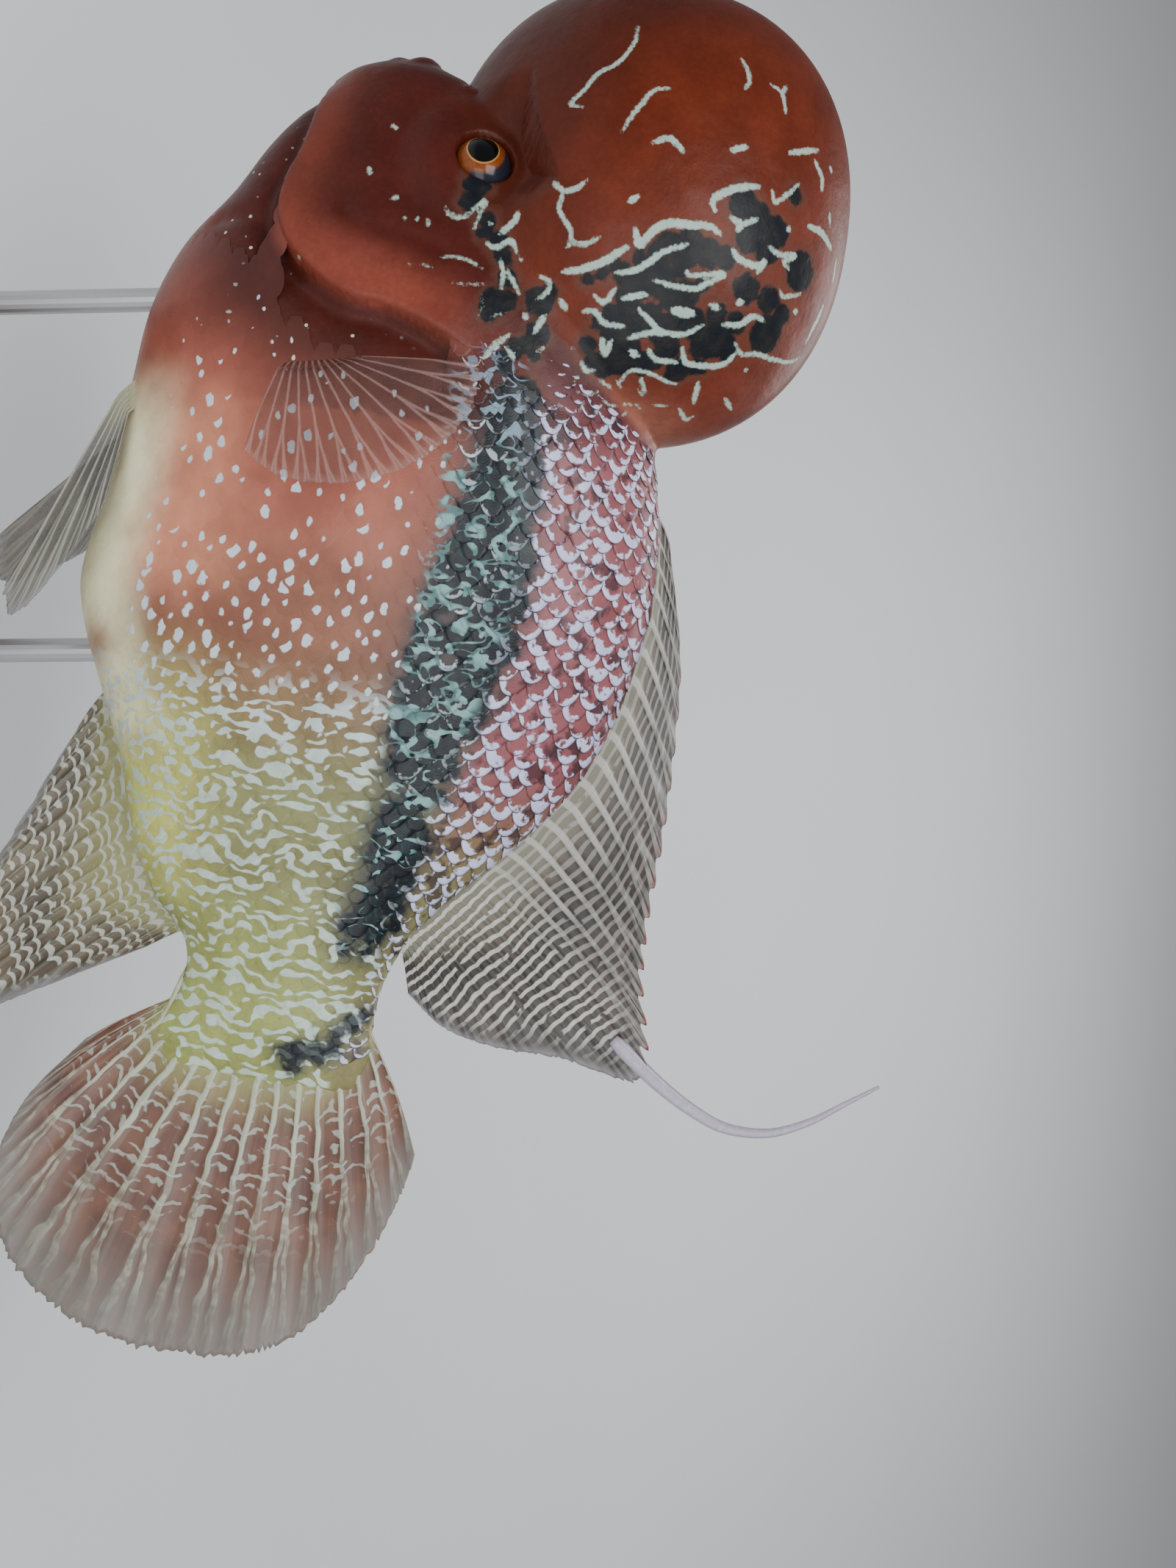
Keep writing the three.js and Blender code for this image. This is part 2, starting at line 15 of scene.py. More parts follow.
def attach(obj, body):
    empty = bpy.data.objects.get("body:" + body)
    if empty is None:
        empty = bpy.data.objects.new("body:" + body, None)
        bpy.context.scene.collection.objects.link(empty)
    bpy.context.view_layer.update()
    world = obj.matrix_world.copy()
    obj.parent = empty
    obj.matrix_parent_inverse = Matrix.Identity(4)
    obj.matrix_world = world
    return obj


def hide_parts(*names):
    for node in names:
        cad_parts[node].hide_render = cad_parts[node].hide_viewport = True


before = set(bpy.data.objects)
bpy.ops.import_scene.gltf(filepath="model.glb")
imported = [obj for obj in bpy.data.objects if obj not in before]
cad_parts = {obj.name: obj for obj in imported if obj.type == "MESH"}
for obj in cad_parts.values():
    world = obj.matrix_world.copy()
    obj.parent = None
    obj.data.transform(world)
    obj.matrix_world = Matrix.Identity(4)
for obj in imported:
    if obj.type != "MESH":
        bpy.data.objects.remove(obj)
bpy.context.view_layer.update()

MM = 0.001
LEFT = -1
RIGHT = 1
SIDES = {"left": LEFT, "right": RIGHT}
PHOTO_SIZE = (1600, 2134)

# The pose, as the solids have it.
PITCH = np.radians(9)
LIFT = 121
SHIFT = 42
BEND_FROM = -30
HEAD_BEND = 0.00085
TAIL_BEND = 0.00042

# The camera lies on its side, as the photograph does: the fish's head is at the top of the picture.
CAMERA = SimpleNamespace(
    azimuth=0.0, elevation=4.0, roll=89.8, lens=45.0, distance=420.0, aim=(59.8, 0, 166.8),
)
SENSOR = 36.0


def through(pairs):
    """A smooth curve through [x, value] pairs, as a function of x."""
    xs, ys = np.array(pairs, float).T
    slopes = np.gradient(ys)
    slopes[1:-1] = (ys[2:] - ys[:-2]) / (xs[2:] - xs[:-2])
    slopes[0] = (ys[1] - ys[0]) / (xs[1] - xs[0])
    slopes[-1] = (ys[-1] - ys[-2]) / (xs[-1] - xs[-2])

    def value(x):
        at = np.clip(np.asarray(x, float), xs[0], xs[-1])
        i = np.clip(np.searchsorted(xs, at) - 1, 0, len(xs) - 2)
        h = xs[i + 1] - xs[i]
        t = (at - xs[i]) / h
        return (
            ys[i] * (1 + 2 * t) * (1 - t) ** 2
            + slopes[i] * h * t * (1 - t) ** 2
            + ys[i + 1] * t * t * (3 - 2 * t)
            + slopes[i + 1] * h * t * t * (t - 1)
        )

    return value


# The body, as the solids have it
SNOUT = -139.5
SNOUT_HEIGHT = -13
SNOUT_ROUND = 11
BODY_END = 84
back = through([
    [-139.5, -6], [-133, -1], [-125, 7], [-114, 19], [-100, 30], [-85, 40.5], [-70, 48], [-58, 52], [-42, 55],
    [-28, 55.8], [-14, 54], [0, 50.5], [12, 45.2], [24, 36.6], [36, 25.6], [46, 17.4], [55, 12.5], [65, 10.6],
    [76, 11.4],
])
belly = through([
    [-139.5, -21], [-134, -26.5], [-126, -34], [-114, -42], [-102, -48.2], [-90, -56.4], [-76, -61.2],
    [-60, -62.6], [-40, -64], [-18, -67.4], [-7, -65], [4, -60.2], [20, -53], [38, -46.6], [48, -40.8],
    [56, -33], [64, -31.4], [76, -35.6],
])
half_width = through([
    [-139.5, 11], [-133, 15.5], [-125, 19.5], [-114, 23.6], [-102, 26.4], [-88, 29], [-70, 30.4], [-50, 30.2],
    [-28, 28.6], [-8, 25.6], [10, 21.4], [28, 16.4], [44, 11.8], [58, 8], [72, 4.6], [78, 3], [84, 1.0],
])
widest = through([[-139.5, -13], [-118, -11], [-90, -9], [-60, -6], [-20, -8], [20, -9], [76, -12]])
upper_squareness = through([[-139.5, 2.3], [-114, 2.9], [-85, 2.4], [-55, 2], [76, 2]])
LOWER_SQUARENESS = 2.2

HUMP = SimpleNamespace(x=-111.5, z=39, ahead=52.5, behind=49.5, above=46, below=44, wide=33.5)
HUMP_PROFILE_SQUARENESS = 2.25
HUMP_WIDTH_SQUARENESS = 1.85
EYE = SimpleNamespace(x=-111, z=8.4, radius=6.3, depth=5.2, proud=2.6)
NOSTRIL = SimpleNamespace(x=-127, z=1.2, radius=1.5)
MOUTH = SimpleNamespace(corner=-127.5, corner_width=12.5, front=-136.9, lip=3.1, gape=2.6, corner_drop=2.5)


def signed_power(value, power):
    return np.sign(value) * np.abs(value) ** power


def mix(a, b, t):
    return a + (b - a) * t


def unit(vectors):
    return vectors / np.linalg.norm(vectors, axis=-1, keepdims=True)


def bell(x, width):
    """1 where x is 0, and fading on both sides."""
    return np.exp(-((x / width) ** 2))


def smooth(x, low, high):
    t = np.clip((x - low) / (high - low), 0, 1)
    return t * t * (3 - 2 * t)


def snout_round(x):
    return np.sqrt(1 - (1 - np.clip((x - SNOUT) / SNOUT_ROUND, 0, 1)) ** 2)


def body_surface(x, angle, side=LEFT):
    """A point of the body's section at x. The angle runs from the belly, -90 degrees, to the back, 90."""
    x, angle = np.broadcast_arrays(np.asarray(x, float), np.asarray(angle, float))
    c, s = np.cos(angle), np.sin(angle)
    upper = s > 0
    power = 2 / np.where(upper, upper_squareness(x), LOWER_SQUARENESS)
    height = np.where(upper, back(x) - widest(x), widest(x) - belly(x))
    end = smooth(BODY_END + 3 - x, 0, 12)
    y = side * half_width(x) * signed_power(c, power) * snout_round(x)
    z = widest(x) + height * signed_power(s, power) * mix(0.86, 1, end)
    return np.stack([x, y, mix(SNOUT_HEIGHT, z, snout_round(x))], -1)


def flank(x, z):
    """Half width of the body at a place."""
    upper = z > widest(x)
    height = np.where(upper, back(x) - widest(x), widest(x) - belly(x))
    power = np.where(upper, upper_squareness(x), LOWER_SQUARENESS)
    share = np.clip(np.abs(z - widest(x)) / height, 0, 1)
    return half_width(x) * (1 - share ** power) ** (1 / power)


def on_flank(x, z, side):
    """A point on one flank and its outward normal."""
    step = 0.5
    along_x = (flank(x + step, z) - flank(x - step, z)) / (2 * step)
    along_z = (flank(x, z + step) - flank(x, z - step)) / (2 * step)
    normal = np.array([-along_x, side, -along_z])
    return np.array([x, side * float(flank(x, z)), z]), unit(normal)


def hump_level(p):
    """Below 0 inside the hump, above 0 outside, in millimetres near its surface."""
    along = np.where(p[:, 0] < HUMP.x, HUMP.ahead, HUMP.behind)
    up = np.where(p[:, 2] > HUMP.z, HUMP.above, HUMP.below)
    q = HUMP_PROFILE_SQUARENESS
    profile = (np.abs((p[:, 0] - HUMP.x) / along) ** q + np.abs((p[:, 2] - HUMP.z) / up) ** q) ** (1 / q)
    w = HUMP_WIDTH_SQUARENESS
    reach = (profile ** w + np.abs(p[:, 1] / HUMP.wide) ** w) ** (1 / w)
    return (reach - 1) * HUMP.wide


def bend(x):
    """How far the middle line is bent sideways at x, and its slope there."""
    away = x - BEND_FROM
    rate = np.where(away < 0, HEAD_BEND, -TAIL_BEND)
    return rate * away ** 2, 2 * rate * away


def bent(p):
    """The straight fish's points, bent sideways."""
    aside, slope = bend(p[:, 0])
    length = np.hypot(1, slope)
    return np.stack([p[:, 0] - p[:, 1] * slope / length, aside + p[:, 1] / length, p[:, 2]], 1)


def posed(points):
    """The straight fish's points in the model's frame, in metres."""
    x, y, z = bent(np.asarray(points, float)).T
    c, s = np.cos(PITCH), np.sin(PITCH)
    return np.stack([x * c + z * s + SHIFT, y, z * c - x * s + LIFT], 1) * MM


# Meshes

def link(name, data):
    piece = bpy.data.objects.new(name, data)
    bpy.context.scene.collection.objects.link(piece)
    return piece


def mesh_object(name, points, faces):
    mesh = bpy.data.meshes.new(name)
    faces = faces.tolist() if isinstance(faces, np.ndarray) else faces
    mesh.from_pydata(np.asarray(points, float).tolist(), [], faces)
    shade_smooth(mesh)
    return link(name, mesh)


def shade_smooth(mesh):
    mesh.polygons.foreach_set("use_smooth", [True] * len(mesh.polygons))


def vectors_of(items, field):
    flat = np.empty(len(items) * 3, np.float32)
    items.foreach_get(field, flat)
    return flat.reshape(-1, 3).astype(float)


def points_of(piece):
    return vectors_of(piece.data.vertices, "co")


def normals_of(piece):
    return vectors_of(piece.data.vertex_normals, "vector")


def move_points(piece, points):
    piece.data.vertices.foreach_set("co", np.asarray(points, np.float32).ravel())
    piece.data.update()


def add_modifier(piece, kind, **settings):
    modifier = piece.modifiers.new(kind.lower(), kind)
    for key, value in settings.items():
        setattr(modifier, key, value)
    apply_modifiers(piece)


def apply_modifiers(piece):
    graph = bpy.context.evaluated_depsgraph_get()
    made = bpy.data.meshes.new_from_object(piece.evaluated_get(graph))
    old = piece.data
    piece.modifiers.clear()
    piece.data = made
    bpy.data.meshes.remove(old)


ATTRIBUTES = {1: ("FLOAT", "value"), 3: ("FLOAT_VECTOR", "vector"), 4: ("FLOAT_COLOR", "color")}


def store(piece, name, values):
    """Keeps a number, a vector of three or a colour of four for each vertex."""
    values = np.asarray(values, np.float32)
    kind, field = ATTRIBUTES[1 if values.ndim == 1 else values.shape[1]]
    piece.data.attributes.new(name, kind, "POINT").data.foreach_set(field, values.ravel())


def ring_faces(rings, around):
    r, i = np.meshgrid(np.arange(rings - 1), np.arange(around), indexing="ij")
    a = r * around + i
    b = r * around + (i + 1) % around
    return np.stack([a, b, b + around, a + around], -1).reshape(-1, 4)


def closed_loft(rings, first_end=None):
    """Points and faces of a stack of rings. It closes at first_end, or else at the first ring's middle."""
    count, around, _ = rings.shape
    start = rings[0].mean(0) if first_end is None else first_end
    points = np.concatenate([rings.reshape(-1, 3), [start, rings[-1].mean(0)]])
    faces = ring_faces(count, around).tolist()
    first, last = count * around, count * around + 1
    for i in range(around):
        j = (i + 1) % around
        faces.append([first, j, i])
        faces.append([last, (count - 1) * around + i, (count - 1) * around + j])
    return points, faces


def sheet_faces(columns, rows):
    """Faces of a closed sheet: a grid on top, the same grid below it, and the rim between them."""
    under = columns * rows
    index = np.arange(under).reshape(columns, rows)
    quads = np.stack([index[:-1, :-1], index[1:, :-1], index[1:, 1:], index[:-1, 1:]], -1).reshape(-1, 4)
    border = np.concatenate([index[:-1, 0], index[-1, :-1], index[:0:-1, -1], index[0, :0:-1]])
    after = np.roll(border, -1)
    rim = np.stack([after, border, border + under, after + under], -1)
    return np.concatenate([quads, quads[:, ::-1] + under, rim])


def face_outward(piece):
    made = bmesh.new()
    made.from_mesh(piece.data)
    bmesh.ops.recalc_face_normals(made, faces=made.faces)
    made.to_mesh(piece.data)
    made.free()


def tube_rings(path, wide, thick, pole, around):
    """Rings along a path. They are wide across it and the pole, and thick the other way."""
    along = unit(np.gradient(np.asarray(path, float), axis=0))
    aside = unit(np.cross(pole, along))
    other = np.cross(along, aside)
    angles = np.linspace(0, 2 * np.pi, around, endpoint=False)[None, :, None]
    wide, thick = [np.asarray(values)[:, None, None] for values in (wide, thick)]
    return path[:, None] + aside[:, None] * np.cos(angles) * wide + other[:, None] * np.sin(angles) * thick


# The skin: body, hump and lips in one

def body_rings():
    nose = SNOUT + SNOUT_ROUND * (1 - np.cos(np.linspace(0.12, 1, 9) * np.pi / 2))
    xs = np.concatenate([nose, np.linspace(SNOUT + SNOUT_ROUND, BODY_END, 150)[1:]])
    angles = np.linspace(0, 2 * np.pi, 120, endpoint=False)
    x, angle = np.meshgrid(xs, angles, indexing="ij")
    return body_surface(x, angle)


def hump_rings():
    latitudes = np.linspace(-1, 1, 61)[1:-1] * np.pi / 2
    angles = np.linspace(0, 2 * np.pi, 96, endpoint=False)
    lat, angle = np.meshgrid(latitudes, angles, indexing="ij")
    radius = np.cos(lat) ** (2 / HUMP_WIDTH_SQUARENESS)
    along = signed_power(np.cos(angle), 2 / HUMP_PROFILE_SQUARENESS) * radius
    up = signed_power(np.sin(angle), 2 / HUMP_PROFILE_SQUARENESS) * radius
    x = HUMP.x + along * np.where(along < 0, HUMP.ahead, HUMP.behind)
    z = HUMP.z + up * np.where(up > 0, HUMP.above, HUMP.below)
    y = HUMP.wide * signed_power(np.sin(lat), 2 / HUMP_WIDTH_SQUARENESS)
    return np.stack([x, y, z], -1)


def lip_rings(rise, forward):
    turn = np.linspace(-0.999, 0.999, 33) * np.pi / 2
    x = mix(MOUTH.corner, MOUTH.front - forward, np.cos(turn))
    z = SNOUT_HEIGHT - MOUTH.corner_drop * (1 - np.cos(turn)) + rise * np.sqrt(np.cos(turn))
    path = np.stack([x, MOUTH.corner_width * np.sin(turn), z], 1)
    radii = MOUTH.lip * (1 - 0.55 * np.abs(turn / (np.pi / 2)) ** 4)
    return tube_rings(path, radii, radii, (0, 0, 1), 16)


# The trunk carries scales, so its own skin is drawn with fewer faces: it is squeezed before it is remeshed.
SQUEEZE_FROM = -58
SQUEEZE = 0.36
VOXEL = 0.62
EVEN_STEPS = 6
BLEND_STEPS = 60


def squeezed(x, factor):
    return np.minimum(x, SQUEEZE_FROM) + np.maximum(x - SQUEEZE_FROM, 0) * factor


def skin_mesh():
    points = []
    faces = []
    for rings in (body_rings(), hump_rings(), lip_rings(MOUTH.gape, 0), lip_rings(-MOUTH.gape, -1)):
        new_points, new_faces = closed_loft(rings)
        start = sum(len(p) for p in points)
        points.append(new_points)
        faces += [[start + i for i in face] for face in new_faces]
    points = np.concatenate(points)
    points[:, 0] = squeezed(points[:, 0], SQUEEZE)
    skin = mesh_object("skin", points, faces)
    face_outward(skin)
    add_modifier(skin, "REMESH", mode="VOXEL", voxel_size=VOXEL)
    add_modifier(skin, "SMOOTH", factor=0.5, iterations=EVEN_STEPS)
    p = points_of(skin)
    p[:, 0] = squeezed(p[:, 0], 1 / SQUEEZE)
    move_points(skin, p)
    shade_smooth(skin.data)
    return skin


def toward_nape(p):
    """0 on the face and 1 behind it, along the hump's foot."""
    return smooth(p[:, 0], -104, -88)


def soften_joins(skin):
    """Fills and rounds the crease where the hump sits on the head and nape."""
    p = points_of(skin)
    inside = np.clip(p[:, 2], belly(p[:, 0]), back(p[:, 0]))
    from_body = np.abs(np.abs(p[:, 1]) - flank(p[:, 0], inside)) + np.abs(p[:, 2] - inside)
    reach = mix(9.0, 3.5, toward_nape(p))
    other = np.maximum(np.abs(hump_level(p)), from_body)
    fill = reach / 4 * np.clip(1 - other / reach, 0, 1) ** 2 * (p[:, 0] < HUMP.x + HUMP.behind + 4)
    p += normals_of(skin) * fill[:, None]
    move_points(skin, p)
    wide = mix(7.0, 3.8, toward_nape(p))
    near_hump = 1 - smooth(np.abs(hump_level(p)), 0.25 * wide, wide)
    near_body = 1 - smooth(from_body, 0.25 * wide, wide)
    weight = near_hump * near_body
    group = skin.vertex_groups.new(name="join")
    for level in (0.25, 0.5, 0.75, 1.0):
        chosen = np.nonzero((weight > level - 0.25) & (weight <= level))[0].tolist()
        group.add(chosen, level, "REPLACE")
    add_modifier(skin, "SMOOTH", factor=0.5, iterations=BLEND_STEPS, vertex_group="join")
    skin.vertex_groups.clear()


# Camera

def camera_axes():
    azimuth, elevation, roll = np.radians([CAMERA.azimuth, CAMERA.elevation, CAMERA.roll])
    flat = np.cos(elevation)
    forward = np.array([-np.sin(azimuth) * flat, np.cos(azimuth) * flat, -np.sin(elevation)])
    level = unit(np.cross(forward, [0, 0, 1]))
    above = np.cross(level, forward)
    right = np.cos(roll) * level + np.sin(roll) * above
    up = -np.sin(roll) * level + np.cos(roll) * above
    return right, up, forward


def camera_place():
    return (np.array(CAMERA.aim) - CAMERA.distance * camera_axes()[2]) * MM


def add_camera():
    right, up, forward = camera_axes()
    data = bpy.data.cameras.new("camera")
    data.lens = CAMERA.lens
    data.sensor_width = SENSOR
    data.clip_start = 0.01
    camera = link("camera", data)
    rotation = Matrix(np.stack([right, up, -forward], 1).tolist()).to_4x4()
    camera.matrix_world = Matrix.Translation(Vector(camera_place())) @ rotation
    bpy.context.scene.camera = camera


# The studio: name, place, aim, size and power of each light, in metres and watts.
MIDDLE = (0.03, 0, 0.15)
LIGHTS = [
    ("key", (-0.10, -0.75, 0.85), MIDDLE, 0.55, 7.4),
    ("fill", (0.25, -0.85, 0.08), MIDDLE, 0.8, 7.2),
    ("rear", (0.1, 0.9, 1.2), (0.05, 0.35, 0), 1.0, 13),
]
AMBIENT = SimpleNamespace(color=(0.86, 0.9, 0.95, 1), strength=0.24)
PAPER = SimpleNamespace(near=-2.5, far=2.2, high=3.4, curve=1.9, half_width=3, below=0.0005)


def add_light(name, place, aim, size, power):
    data = bpy.data.lights.new(name, "AREA")
    data.size = size
    data.energy = power
    light = link(name, data)
    light.location = place
    light.rotation_euler = (Vector(aim) - Vector(place)).to_track_quat("-Z", "Y").to_euler()


def add_studio():
    for light in LIGHTS:
        add_light(*light)
    world = bpy.data.worlds.new("studio")
    world.use_nodes = True
    background = world.node_tree.nodes["Background"]
    background.inputs["Color"].default_value = AMBIENT.color
    background.inputs["Strength"].default_value = AMBIENT.strength
    bpy.context.scene.world = world
    angles = np.linspace(0, np.pi / 2, 16)
    bow = [(PAPER.far - PAPER.curve * (1 - np.sin(a)), PAPER.curve * (1 - np.cos(a))) for a in angles]
    profile = [(PAPER.near, 0.0), *bow, (PAPER.far, PAPER.high)]
    edges = (-PAPER.half_width, PAPER.half_width)
    points = [(x, y, z - PAPER.below) for y, z in profile for x in edges]
    faces = [[2 * i, 2 * i + 1, 2 * i + 3, 2 * i + 2] for i in range(len(profile) - 1)]
    floor = mesh_object("studio_floor", points, faces)
    n = Nodes("paper")
    shade = n.noise(n.place(), 3, 4)
    n.finish(Base_Color=n.tint(shade, (0.70, 0.71, 0.72), (0.76, 0.77, 0.78)), Roughness=0.9)
    floor.data.materials.append(n.material)


# Materials

class Wire:
    """A node's output. Sums, products and the like of wires add the nodes that work them out."""

    def __init__(self, nodes, socket):
        self.nodes = nodes
        self.socket = socket

    def __add__(self, other):
        return self.nodes.math("ADD", self, other)

    def __sub__(self, other):
        return self.nodes.math("SUBTRACT", self, other)

    def __rsub__(self, other):
        return self.nodes.math("SUBTRACT", other, self)

    def __mul__(self, other):
        return self.nodes.math("MULTIPLY", self, other)

    def __truediv__(self, other):
        return self.nodes.math("DIVIDE", self, other)

    def __abs__(self):
        return self.nodes.math("ABSOLUTE", self)

    __radd__ = __add__
    __rmul__ = __mul__


class Nodes:
    """A material's node tree, built in short steps."""

    def __init__(self, name):
        self.material = bpy.data.materials.new(name)
        self.material.use_nodes = True
        self.tree = self.material.node_tree
        self.shader = self.tree.nodes["Principled BSDF"]

    def set(self, socket, value):
        if isinstance(value, Wire):
            self.tree.links.new(value.socket, socket)
        elif hasattr(value, "__len__") and len(value) == 3 and socket.type == "RGBA":
            socket.default_value = (*value, 1)
        else:
            socket.default_value = value

    def add(self, kind, output, settings=None, **inputs):
        """Adds a node and gives one of its outputs. Inputs are named, or numbered as in_0, in_1 and so on."""
        node = self.tree.nodes.new(kind)
        for key, value in (settings or {}).items():
            setattr(node, key, value)
        for key, value in inputs.items():
            name = int(key[3:]) if key.startswith("in_") else key.replace("_", " ")
            self.set(node.inputs[name], value)
        return Wire(self, node.outputs[output])

    def place(self):
        return self.add("ShaderNodeNewGeometry", "Position")

    def stored(self, name, output):
        return self.add("ShaderNodeAttribute", output, {"attribute_name": name})

    def vector(self, name):
        return self.stored(name, "Vector")

    def number(self, name):
        return self.stored(name, "Fac")

    def split(self, vector):
        parts = self.add("ShaderNodeSeparateXYZ", 0, Vector=vector).socket.node.outputs
        return [Wire(self, part) for part in parts]

    def scaled(self, vector, factors):
        return self.add("ShaderNodeVectorMath", 0, {"operation": "MULTIPLY"}, in_0=vector, in_1=factors)

    def math(self, operation, a, b=0.0, clamp=False):
        return self.add("ShaderNodeMath", 0, {"operation": operation, "use_clamp": clamp}, in_0=a, in_1=b)

    def sine(self, value):
        return self.math("SINE", value)

    def most(self, *values):
        highest, *others = values
        for value in others:
            highest = self.math("MAXIMUM", highest, value)
        return highest

    def length(self, a, b):
        return self.math("SQRT", a * a + b * b)

    def step(self, value, low, high):
        """0 below low, 1 above high and smooth between. high may be the smaller one."""
        ends = (1.0, 0.0) if low > high else (0.0, 1.0)
        return self.add("ShaderNodeMapRange", 0, {"interpolation_type": "SMOOTHSTEP"}, Value=value,
                        From_Min=min(low, high), From_Max=max(low, high), To_Min=ends[0], To_Max=ends[1])

    def noise(self, vector, scale, detail=3.0, distortion=0.0):
        return self.add("ShaderNodeTexNoise", "Fac", Vector=vector, Scale=scale, Detail=detail,
                        Distortion=distortion)

    def sway(self, vector, scale, detail, amount, distortion=0.0):
        """Noise about 0, half the amount up and down at most."""
        return (self.noise(vector, scale, detail, distortion) - 0.5) * amount

    def cells(self, vector, scale):
        return self.add("ShaderNodeTexVoronoi", "Distance", Vector=vector, Scale=scale)

    def tint(self, fac, a, b, blend="MIX"):
        settings = {"data_type": "RGBA", "blend_type": blend}
        return self.add("ShaderNodeMix", 2, settings, in_0=fac, in_6=a, in_7=b)

    def product(self, a, b):
        return self.tint(1.0, a, b, "MULTIPLY")

    def bump(self, height, distance, strength=1.0, **normal):
        return self.add("ShaderNodeBump", 0, Height=height, Distance=distance, Strength=strength, **normal)

    def finish(self, **inputs):
        for key, value in inputs.items():
            self.set(self.shader.inputs[key.replace("_", " ")], value)


# From the photograph to the fish

def straight(points):
    """The inverse of posed: from metres in the model's frame to the straight fish's millimetres."""
    p = np.asarray(points, float) / MM - [SHIFT, 0, LIFT]
    c, s = np.cos(PITCH), np.sin(PITCH)
    along, height = p[:, 0] * c - p[:, 2] * s, p[:, 0] * s + p[:, 2] * c
    x, y = along.copy(), p[:, 1].copy()
    for _ in range(8):
        aside, slope = bend(x)
        length = np.hypot(1, slope)
        y = (p[:, 1] - aside) * length
        x = along + y * slope / length
    return np.stack([x, y, height], 1)


def photo_rays(pixels):
    right, up, forward = camera_axes()
    focal = CAMERA.lens / SENSOR * max(PHOTO_SIZE)
    across = (pixels[:, :1] - PHOTO_SIZE[0] / 2) / focal
    down = (pixels[:, 1:2] - PHOTO_SIZE[1] / 2) / focal
    return camera_place(), forward + across * right - down * up


class PhotoMap:
    """Finds the places on the skin that pixels of the photograph show."""

    def __init__(self, skin_points, polygons):
        self.tree = BVHTree.FromPolygons(posed(skin_points).tolist(), polygons)

    def find(self, pixels):
        place, rays = photo_rays(np.asarray(pixels, float))
        hits = [self.tree.ray_cast(Vector(place), Vector(ray))[0] for ray in rays]
        found = [i for i, hit in enumerate(hits) if hit is not None]
        return straight([hits[i] for i in found]), found


def curve_through(points, step):
    """Points about a step apart on a smooth curve through the given ones."""
    p = np.asarray(points, float)
    if len(p) == 1:
        return p
    p = np.concatenate([2 * p[:1] - p[1:2], p, 2 * p[-1:] - p[-2:-1]])
    made = []
    for a, b, c, d in zip(p[:-3], p[1:-2], p[2:-1], p[3:]):
        count = max(2, int(np.linalg.norm(c - b) / step))
        t = np.linspace(0, 1, count, endpoint=False)[:, None]
        bow = (2 * a - 5 * b + 4 * c - d) * t ** 2 + (3 * b - a - 3 * c + d) * t ** 3
        made.append(b + 0.5 * ((c - a) * t + bow))
    return np.concatenate(made + [p[-2:-1]])


# Relief of the head

# The free edge of the gill cover, from the chin round its back to the nape, as pixels of the photograph.
GILL_EDGE = [(456, 112), (430, 150), (409, 200), (385, 245), (375, 288), (388, 335), (427, 375), (470, 404),
             (530, 420), (597, 455), (640, 480), (672, 500)]
# A soft fold of the cheek inside it.
CHEEK_FOLD = [(470, 285), (490, 305), (525, 312), (565, 322), (600, 338)]
# The fold between the chin and the throat.
THROAT_FOLD = [(300, 296), (330, 290), (352, 300), (372, 330), (392, 362)]


def mirrored(points):
    """The points of both sides, laid on the left one."""
    made = np.array(points, float)
    made[:, 1] = -np.abs(made[:, 1])
    return made


def line_on_skin(photo, pixels, step=3.0):
    places, _ = photo.find(curve_through(pixels, step))
    return places


def nearest(points, places):
    """The distance from each point to the nearest of the places, and that place's number."""
    tree = KDTree(len(places))
    for i, place in enumerate(places):
        tree.insert(place, i)
    tree.balance()
    found = [tree.find(p)[1:] for p in points.tolist()]
    which, distance = zip(*found)
    return np.array(distance), np.array(which)


def signed_distance(points, line):
    """How far the points lie from an open line on the flank: above 0 on the side of its hollow."""
    distance, which = nearest(points, line)
    ahead = line[np.minimum(which + 1, len(line) - 1)] - line[np.maximum(which - 1, 0)]
    offset = points - line[which]
    turn = ahead[:, 0] * offset[:, 2] - ahead[:, 2] * offset[:, 0]
    return distance * np.sign(turn)


HEAD_END = -55
GILL_COVER = SimpleNamespace(
    rise=1.5, fades_over=9, slit=1.8, slit_at=2.6, groove=1.0, groove_at=4.5, groove_wide=4.2,
)
FOLDS = [(CHEEK_FOLD, 0.5, 1.8), (THROAT_FOLD, 0.9, 2.6)]  # line, depth and width
SOCKET = SimpleNamespace(bed_from=7.0, bed_to=18, rim=0.4, rim_wide=1.4, depth=4.6)
PIT = SimpleNamespace(depth=1.6, rim=0.45, rim_at=2.0, rim_wide=0.7)


def gill_relief(q, photo):
    """The gill cover stands up along its free edge, and a slit and a soft groove lie behind it."""
    edge = line_on_skin(photo, GILL_EDGE)
    gap = signed_distance(q, edge)
    ends = smooth(nearest(q, edge[-1:])[0], 2, 14) * smooth(nearest(q, edge[:1])[0], 0, 8)
    raised = GILL_COVER.rise * np.exp(-np.abs(gap) / GILL_COVER.fades_over)
    plate = np.where(gap > 0, raised, 0) * smooth(gap, -0.2, 1.3)
    slit = GILL_COVER.slit * bell(gap + GILL_COVER.slit_at, GILL_COVER.slit_at)
    groove = GILL_COVER.groove * bell(gap + GILL_COVER.groove_at, GILL_COVER.groove_wide)
    return (plate - slit - groove) * ends


